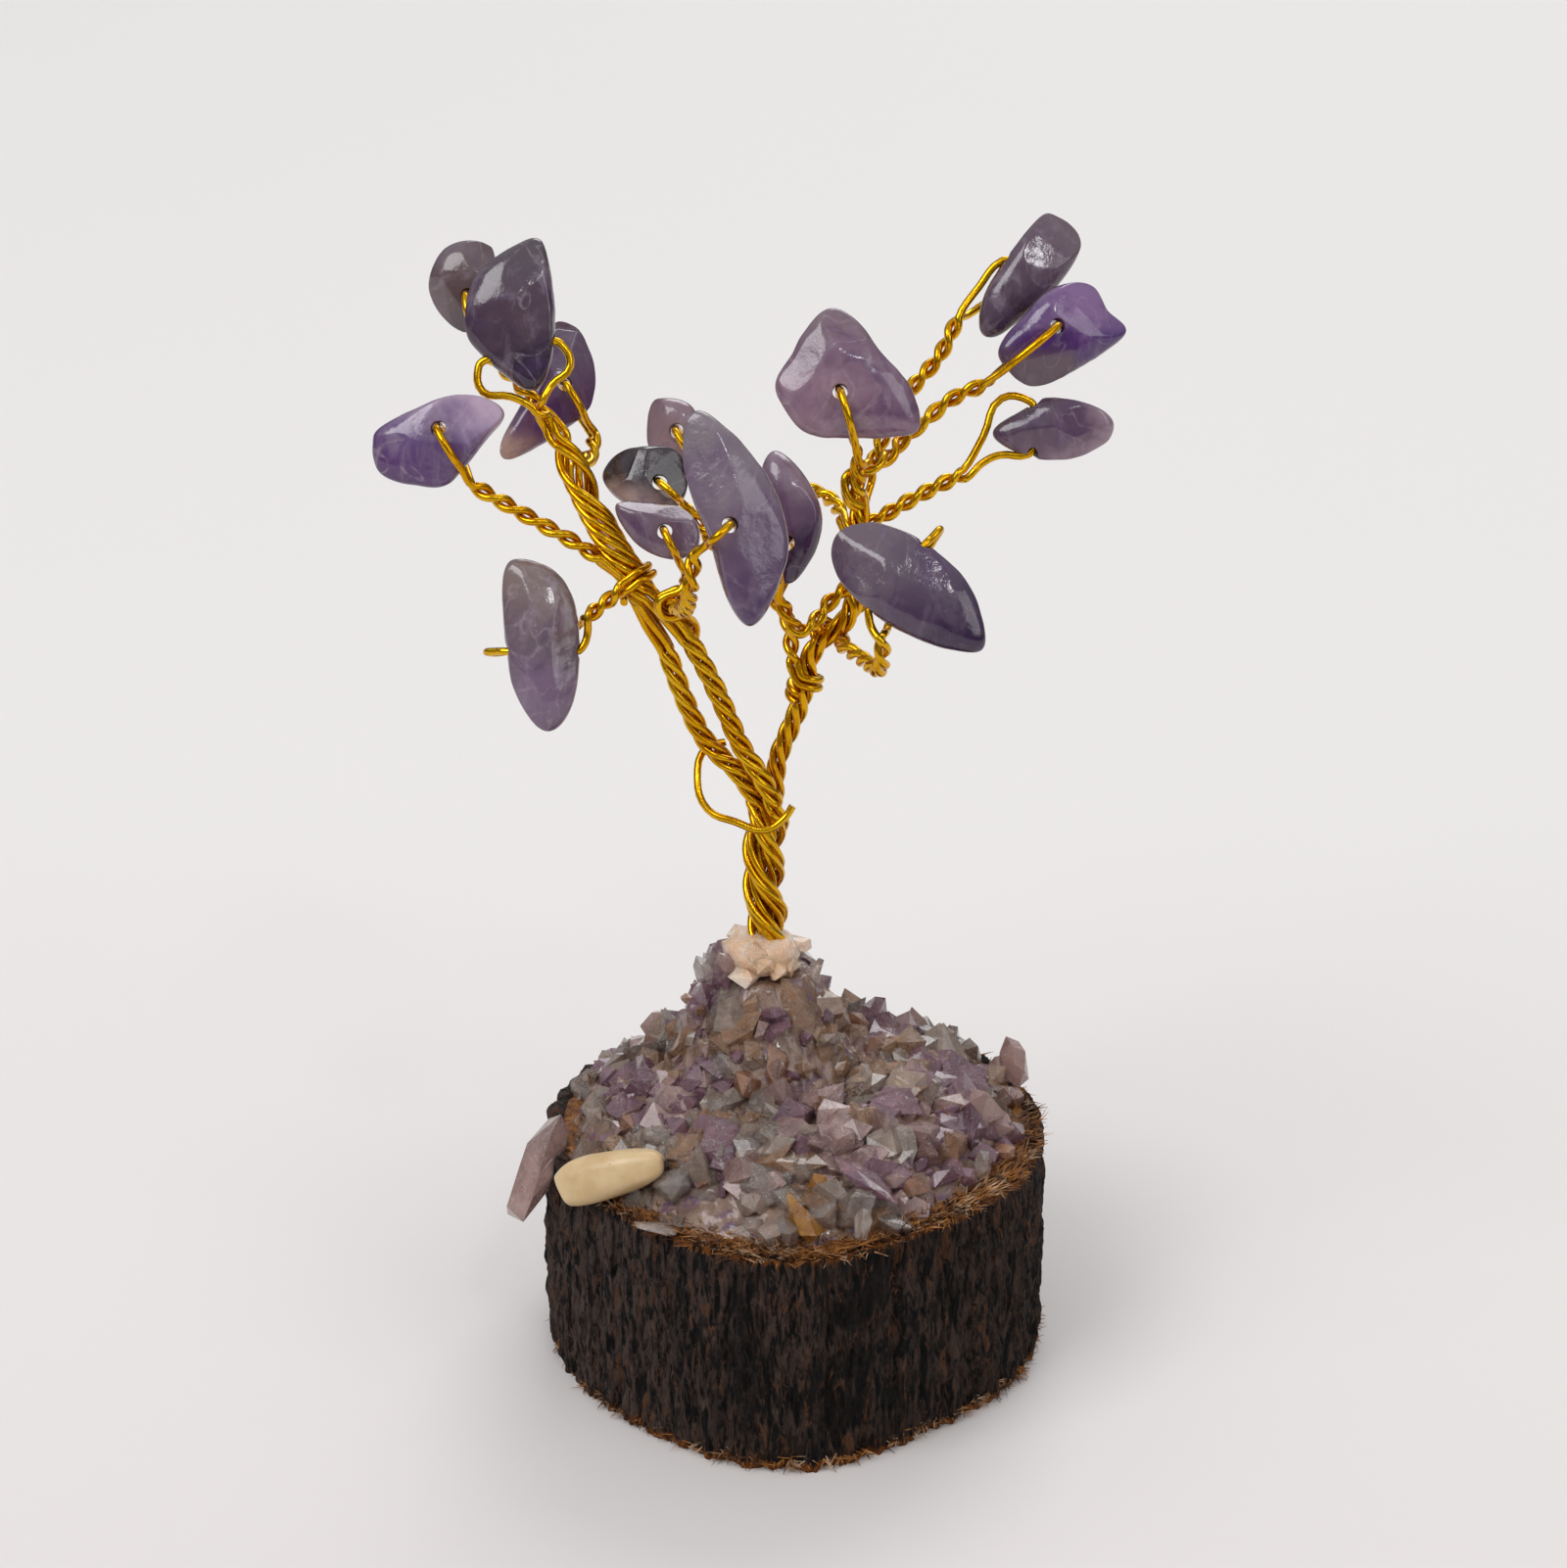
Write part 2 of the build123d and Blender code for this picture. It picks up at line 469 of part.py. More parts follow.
# The other nine pairs start as a tail, laid or wound round wires that carry them. For each: the route it is
# on, the station below and how far past it, the radius, the length of a turn, and the turns
laid = rope_radius + wire_diameter / 2 + wire_gap
wound_limb = limb_reach + wire_diameter / 2 + wire_gap
on_pair = pair_radius + wire_diameter + wire_gap
tail_layout = {
    5: (left_route, 11, 0.78, wound_limb, winding_turn, 0.7),
    9: (middle_route, 10, 0.0, laid, rope_turn, 0.25),
    7: (right_route, 8, 0.9, laid, winding_turn, 1.0),
    12: (right_route, 11, 0.5, laid, winding_turn, 0.6),
    10: (right_route, 13, 0.7, laid, rope_turn, 0.35),
    15: (right_route, 14, 0.95, laid, rope_turn, 0.15),
    6: (right_route, 15, 0.2, laid, rope_turn, 0.35),
    14: (11, 1, 0.2, on_pair, pair_turn * 1.4, 0.35),
    8: (9, 1, 0.3, on_pair, winding_turn, 0.7),
}
for number, (host, station, past, radius, turn, turns) in tail_layout.items():
    host = hosts.get(host, host)
    reach = host.stations[station]
    if past:
        reach += (host.stations[station + 1] - reach) * past
    towards = place(twig_shares[number][0])
    tail = tail_line(host, reach, radius, turn, turns, towards)
    root, across, travel = tail[-1]
    lead = root - travel * (towards - root).length
    side = host.at(reach)[3]
    hosts[number], twig = twisted_pair(number, root, lead, side, across, Vector(0, 0, 0), crotch_length * 0.7)
    lines[number] = [(middle, across) for middle, across, travel in tail] + twig

wire_paths = {number: wire_path(number, line) for number, line in sorted(lines.items())}


def rim(angle, inset=0):
    # A point of the slice's outline at an angle, drawn in by an inset
    turn = (angle / (2 * pi) * len(rim_shares)) % len(rim_shares)
    i = int(turn)
    four = [rim_shares[(i + k) % len(rim_shares)] for k in (-1, 0, 1, 2)]
    radius = slice_radius * curve_value(*four, turn - i) - inset
    return radius * cos(angle), radius * sin(angle)


def ridge(i):
    # A crest or a groove of the bark, which vary in depth and stand a little unevenly round the slice
    varied = 0.5 + 0.5 * sin(1.9 * i)
    depth = 0.6 + 0.4 * varied if i % 2 else 0.3 * varied
    return rim(pi * (i + 0.22 * sin(2.7 * i)) / ridge_count, ridge_depth * depth)


def wood_outline(inset, sides):
    return [rim(2 * pi * i / sides, inset) for i in range(sides)]


bark_outline = [ridge(i) for i in range(2 * ridge_count)]
stem_x = place(stem_shares[0]).X
stem_foot = place(stem_shares[0]).Z

# Wood slice, with the hole that the trunk stands in
with BuildPart() as wood_slice:
    with BuildSketch() as wood_sketch:
        Polygon(*wood_outline(bark_thickness, wood_sides), align=None)
    extrude(amount=slice_height)
    with BuildSketch(Plane.XY.offset(stem_foot)):
        with Locations((stem_x, 0)):
            Circle(stem_bore / 2)
    extrude(amount=slice_height - stem_foot, mode=Mode.SUBTRACT)

# Bark, a ridged ring round the wood
with BuildPart() as bark:
    with BuildSketch():
        Polygon(*bark_outline, align=None)
        Polygon(*wood_outline(bark_thickness, wood_sides), align=None, mode=Mode.SUBTRACT)
    extrude(amount=slice_height)

# Resin mound: a low dome over the wood with a cone at the foot of the trunk
cone_x = stem_x - collar_radius / 6
mound_inset = bark_thickness + wood_ring
dome_top = slice_height + rim_height + dome_height
cone_top = dome_top + cone_height
with BuildPart() as resin_mound:
    with BuildSketch(Plane.XY.offset(slice_height)):
        Polygon(*wood_outline(mound_inset, wood_sides // 2), align=None)
    extrude(amount=rim_height, taper=rim_slope)
    extrude(to_extrude=resin_mound.faces().sort_by(Axis.Z)[-1], amount=dome_height, taper=dome_slope)
    with BuildSketch(Plane.XY.offset(dome_top)):
        with Locations((cone_x, 0)):
            RegularPolygon(cone_radius, cone_sides)
    extrude(amount=cone_height, taper=cone_slope)
    with BuildSketch(Plane.XY.offset(slice_height)):
        with Locations((stem_x, 0)):
            Circle(stem_bore / 2)
    extrude(amount=cone_top, mode=Mode.SUBTRACT)

# Resin collar, a lump round the foot of the trunk
with BuildPart() as resin_collar:
    with BuildSketch(Plane.XY.offset(cone_top)):
        with Locations((cone_x, 0)):
            RegularPolygon(collar_radius, collar_sides)
    extrude(amount=collar_height * collar_foot_share, taper=collar_slope)
    collar_waist = resin_collar.faces().sort_by(Axis.Z)[-1]
    extrude(to_extrude=collar_waist, amount=collar_height * (1 - collar_foot_share), taper=collar_top_slope)
    with BuildSketch(Plane.XY.offset(cone_top)):
        with Locations((stem_x, 0)):
            Circle(stem_bore / 2)
    extrude(amount=collar_height, mode=Mode.SUBTRACT)

for part, name in ((wood_slice, "wood_slice"), (bark, "bark"), (resin_mound, "resin_mound"),
                   (resin_collar, "resin_collar")):
    part.part.label = name
    export_step(part.part, f"parts/{name}.step")


def seat(support, share):
    # A place on the slice or on the cone
    if support == "slice":
        return Vector(*share) * slice_radius + Vector(0, 0, slice_height)
    return Vector(cone_x + share[0] * cone_radius, share[1] * cone_radius, dome_top + share[2] * cone_height)


def on_mound(angle, level, off):
    # A place on the mound's skin, or off it, at a level from 0 at the foot of its rim to 3 at its top
    up_cone = max(level - 2, 0) * cone_height
    if level >= 2:
        radius = cone_radius - up_cone * tan(radians(cone_slope)) + off
        return Vector(cone_x + radius * cos(angle), radius * sin(angle), dome_top + up_cone)
    up_rim = min(level, 1) * rim_height
    up_dome = max(level - 1, 0) * dome_height
    inward = mound_inset + up_rim * tan(radians(rim_slope)) + up_dome * tan(radians(dome_slope))
    return Vector(*rim(angle, inward - off), slice_height + up_rim + up_dome)


def spot_distance(spot, start, end):
    # How far a spot is from the line between two places
    along = min(max((spot - start).dot(end - start) / (end - start).length ** 2, 0), 1)
    return (spot - start - (end - start) * along).length


def crystal_profile(wide, thick, sides):
    # An uneven outline of the given width and thickness
    points = []
    for i in range(sides):
        turn = 2 * pi * (i + chance.uniform(-0.2, 0.2)) / sides
        uneven = chance.uniform(0.82, 1)
        points.append((wide / 2 * uneven * cos(turn), thick / 2 * uneven * sin(turn)))
    return points


# What the crystals lie on, with the bark's grooves closed
with BuildPart() as bed:
    with BuildSketch():
        Polygon(*wood_outline(-wire_gap, ridge_count), align=None)
    extrude(amount=slice_height)
    add(resin_mound.part)
    add(resin_collar.part)

# The crystals of the rings. Each stays inside a ball that touches no other, and is cut off where it lies
chance = Random(7)
single_lines = [(seat(support, start), seat(support, end), max(sizes) * crystal_size)
                for pieces in crystal_shares.values() for support, start, end, sizes in pieces]
least_volume = least_share * crystal_size ** 3
for name, rings in ring_shares.items():
    with BuildPart() as ring_crystals:
        for count, level, off_share in rings:
            for i in range(count):
                angle = 2 * pi * (i + chance.uniform(-0.06, 0.06)) / count
                spot = on_mound(angle, level, off_share * crystal_size)
                rooms = [spot_distance(spot, start, end) - wide / 2 for start, end, wide in single_lines]
                if min(rooms) < crystal_size / 2:
                    continue
                size = crystal_size * chance.uniform(girth_share, 1)
                leaning = Vector(0.6 * cos(angle), 0.6 * sin(angle), 1)
                leaning += Vector(chance.uniform(-0.6, 0.6), chance.uniform(-0.6, 0.6), 0)
                facing = leaning.normalized()
                girth = size * girth_share
                with BuildSketch(Plane(origin=spot - facing * size * sunk_share, z_dir=facing)):
                    Polygon(*crystal_profile(girth, girth, chance.randint(4, 6)), align=None)
                extrude(amount=size * stem_share)
                top = ring_crystals.faces(Select.LAST).sort_by(Axis(spot, facing))[-1]
                extrude(to_extrude=top, amount=size * point_share, taper=point_slope)
        add(bed.part, mode=Mode.SUBTRACT)
    grains = Compound([solid for solid in ring_crystals.part.solids() if solid.volume > least_volume])
    grains.label = name
    export_step(grains, f"parts/{name}.step")

# The single crystals, each with bevelled ends
for name, pieces in crystal_shares.items():
    with BuildPart() as crystal:
        for support, start_share, end_share, (wide_share, thick_share) in pieces:
            start = seat(support, start_share)
            way = seat(support, end_share) - start
            along = way.normalized()
            flat = Plane(origin=start + way * tail_share, x_dir=along.cross(Vector(0, 0.2, 1)), z_dir=along)
            with BuildSketch(flat):
                Polygon(*crystal_profile(wide_share * crystal_size, thick_share * crystal_size, 6), align=None)
            extrude(amount=way.length * body_share)
            ends = crystal.faces(Select.LAST).sort_by(Axis(start, along))
            extrude(to_extrude=ends[-1], amount=way.length * tip_share, taper=end_slope)
            extrude(to_extrude=ends[0], amount=way.length * tail_share, taper=end_slope)
        add(bed.part, mode=Mode.SUBTRACT)
    grains = Compound([solid for solid in crystal.part.solids() if solid.volume > least_volume / 2])
    grains.label = name
    export_step(grains, f"parts/{name}.step")

# The chips, each bevelled to both faces and drilled
for number, chip in chips.items():
    plane = chip_plane(chip)
    wide, tall, thick = chip_sizes(chip)
    hole, way, reach = chip_hole(chip)
    with BuildPart() as tumbled_chip:
        with BuildSketch(plane):
            Polygon(*[(x * wide, y * tall) for x, y in chip["outline_shares"]], align=None)
        extrude(amount=thick * band_share, both=True)
        facing = Axis(plane.origin, plane.z_dir)
        for i in (-1, 0):
            end = tumbled_chip.faces().sort_by(facing)[i]
            extrude(to_extrude=end, amount=thick * slope_share, taper=chip_slope)
        with BuildSketch(Plane(origin=hole - way * chip_length, z_dir=way)):
            Circle(bore_diameter / 2)
        extrude(amount=2 * chip_length, mode=Mode.SUBTRACT)
    name = f"chip_{number:02d}"
    tumbled_chip.part.label = name
    export_step(tumbled_chip.part, f"parts/{name}.step")
    print(name, "hole", tuple(round(v, 3) for v in hole), "way", tuple(round(v, 4) for v in way))

# The wires, each one strand bent double, and the loose turn at the fork
named_paths = {f"wire_{number:02d}": path for number, path in wire_paths.items()}
named_paths["binding_wire"] = Route([place(share) for share in binding_shares], fineness=3).points
for name, path in named_paths.items():
    with BuildPart() as wire:
        with BuildLine() as wire_line:
            Polyline(*path)
        with BuildSketch(Plane(origin=path[0], z_dir=path[1] - path[0])):
            RegularPolygon(section_share * wire_diameter / 2, wire_sides)
        sweep(path=wire_line.line, transition=Transition.RIGHT)
    wire.part.label = name
    export_step(wire.part, f"parts/{name}.step")
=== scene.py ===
import bmesh
import bpy
from bisect import bisect
from math import atan2, ceil, cos, exp, pi, radians, sin, sqrt, tan
from mathutils import Matrix, Vector, noise
from random import Random


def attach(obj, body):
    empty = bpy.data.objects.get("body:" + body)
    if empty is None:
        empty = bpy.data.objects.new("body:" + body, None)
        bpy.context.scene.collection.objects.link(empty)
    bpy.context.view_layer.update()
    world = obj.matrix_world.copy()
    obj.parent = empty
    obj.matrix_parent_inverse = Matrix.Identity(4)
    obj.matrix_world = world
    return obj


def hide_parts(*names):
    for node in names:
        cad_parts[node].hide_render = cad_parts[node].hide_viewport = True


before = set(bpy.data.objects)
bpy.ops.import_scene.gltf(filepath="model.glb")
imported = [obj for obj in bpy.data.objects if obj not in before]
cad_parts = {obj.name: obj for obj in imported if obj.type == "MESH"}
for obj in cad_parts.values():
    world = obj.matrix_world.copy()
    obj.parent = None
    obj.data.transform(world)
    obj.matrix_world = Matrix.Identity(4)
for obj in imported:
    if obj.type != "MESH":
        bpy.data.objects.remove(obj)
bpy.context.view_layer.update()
scene = bpy.context.scene

# Sizes in millimetres; every mesh is made in millimetres and written in metres
slab = dict(radius=16.8, height=15.0, bark=1.5, rimHeight=1.6, domeHeight=2.2, coneHeight=7.0)
tree = dict(height=60.0, wire=0.5, trunkTurn=9.0, ropeTurn=5.6, limbTurn=8.2, pairTurn=2.9,
            windingTurn=1.3, crotch=1.8, pairRadius=0.285, pairSteps=10, ropeSteps=10, tailSteps=16,
            joinTurn=4.0, trunkGap=0.02, laidGap=0.03)
# Points of a main wire's route at which its twist begins, the trunk forks and the limb begins
knots = dict(twist=2, fork=5, limb=11)
chipSize = dict(length=8.0, thickness=2.8, bore=1.2, loopGap=0.06, lean=22)
rimShares = (1.0, 0.99, 0.96, 0.93, 0.95, 0.98, 1.0, 1.03, 1.09, 1.19, 1.06, 1.04)


# Routes of the wires
def place(share):
    return Vector(share) * tree["height"] + Vector((0, 0, slab["height"]))


def eased(t):
    t = min(max(t, 0), 1)
    return t * t * (3 - 2 * t)


def curveValue(before, start, end, after, t):
    slopeIn = (end - before) * 0.5
    slopeOut = (after - start) * 0.5
    rest = (end - start) * 3 - slopeIn * 2 - slopeOut
    bend = (start - end) * 2 + slopeIn + slopeOut
    return start + slopeIn * t + rest * (t * t) + bend * (t * t * t)


class Route:
    def __init__(self, points, lead=None, side=Vector((1, 0, 0)), fineness=10):
        first = lead or points[0] * 2 - points[1]
        spread = [first, *points, points[-1] * 2 - points[-2]]
        self.points = [points[0]]
        for before, start, end, after in zip(spread, spread[1:], spread[2:], spread[3:]):
            for step in range(1, fineness + 1):
                self.points.append(curveValue(before, start, end, after, step / fineness))
        self.reaches = [0]
        for start, end in zip(self.points, self.points[1:]):
            self.reaches.append(self.reaches[-1] + (end - start).length)
        self.stations = self.reaches[::fineness]
        self.tangents = []
        for i in range(len(self.points)):
            ahead = self.points[min(i + 1, len(self.points) - 1)]
            self.tangents.append((ahead - self.points[max(i - 1, 0)]).normalized())
        self.sides = []
        for tangent in self.tangents:
            side = (side - tangent * side.dot(tangent)).normalized()
            self.sides.append(side)

    def at(self, reach):
        i = min(max(bisect(self.reaches, reach) - 1, 0), len(self.points) - 2)
        t = (reach - self.reaches[i]) / (self.reaches[i + 1] - self.reaches[i])
        middle = self.points[i].lerp(self.points[i + 1], t)
        tangent = self.tangents[i].lerp(self.tangents[i + 1], t).normalized()
        side = self.sides[i].lerp(self.sides[i + 1], t)
        side = (side - tangent * side.dot(tangent)).normalized()
        return middle, side, tangent.cross(side), tangent

    def out(self, reach, angle):
        middle, side, back, tangent = self.at(reach)
        return side * cos(angle) + back * sin(angle)

    def angleOf(self, reach, way):
        middle, side, back, tangent = self.at(reach)
        return atan2(way.dot(back), way.dot(side))


stemShares = [(-0.025, 0, -0.16), (-0.025, 0, 0), (-0.025, 0, 0.13), (-0.027, 0, 0.21), (-0.033, 0, 0.29),
              (-0.028, 0, 0.372)]
leftShares = [(-0.057, -0.005, 0.408), (-0.093, -0.008, 0.447), (-0.115, -0.008, 0.493),
              (-0.132, -0.008, 0.543), (-0.144, -0.008, 0.573)]
middleShares = [(-0.037, -0.013, 0.41), (-0.057, -0.017, 0.447), (-0.077, -0.015, 0.495),
                (-0.098, -0.012, 0.54), (-0.119, -0.01, 0.572)]
rightShares = [(-0.02, 0.008, 0.413), (-0.007, 0.008, 0.45), (0.007, 0.005, 0.488), (0.013, 0.003, 0.52),
               (0.018, 0, 0.542), (0.032, -0.002, 0.562), (0.051, 0, 0.577), (0.062, 0.003, 0.6),
               (0.061, 0.008, 0.633), (0.065, 0.013, 0.67), (0.068, 0.017, 0.697)]
limbShares = [(-0.155, -0.008, 0.605), (-0.173, -0.007, 0.637), (-0.195, 0.002, 0.672), (-0.22, 0.017, 0.72),
              (-0.243, 0.032, 0.767)]
twigShares = {
    1: [(-0.267, 0.06, 0.793), (-0.293, 0.088, 0.815)],
    2: [(-0.253, 0.034, 0.785)],
    3: [(-0.226, 0.055, 0.737), (-0.217, 0.105, 0.722)],
    4: [(-0.213, -0.016, 0.662), (-0.248, -0.016, 0.682), (-0.283, -0.016, 0.703)],
    5: [(-0.2, -0.03, 0.605)],
    6: [(0.037, 0.067, 0.69), (-0.017, 0.12, 0.695), (-0.063, 0.155, 0.695)],
    7: [(-0.01, 0.012, 0.583), (-0.043, 0.022, 0.613), (-0.08, 0.033, 0.647)],
    8: [(-0.112, -0.052, 0.634)],
    9: [(-0.128, -0.043, 0.61), (-0.117, -0.085, 0.622), (-0.108, -0.15, 0.645), (-0.103, -0.195, 0.68)],
    10: [(0.037, -0.02, 0.607), (0.018, -0.043, 0.59), (0.002, -0.052, 0.588)],
    11: [(0.065, -0.008, 0.725)],
    12: [(0.05, -0.04, 0.565), (0.068, -0.085, 0.568), (0.083, -0.14, 0.576), (0.087, -0.172, 0.597)],
    13: [(0.078, 0.04, 0.727), (0.095, 0.067, 0.765), (0.123, 0.095, 0.803), (0.15, 0.108, 0.832)],
    14: [(0.09, 0.02, 0.745), (0.11, 0.05, 0.757), (0.135, 0.06, 0.777), (0.16, 0.065, 0.797)],
    15: [(0.087, 0.023, 0.683), (0.115, 0.03, 0.698), (0.148, 0.033, 0.715)],
}
bindingShares = [(-0.073, 0.0125, 0.438), (-0.093, 0.0125, 0.432), (-0.103, -0.008, 0.405),
                 (-0.092, -0.027, 0.377), (-0.062, -0.038, 0.367), (-0.032, -0.039, 0.358),
                 (-0.01, -0.033, 0.37), (-0.002, -0.03, 0.382)]

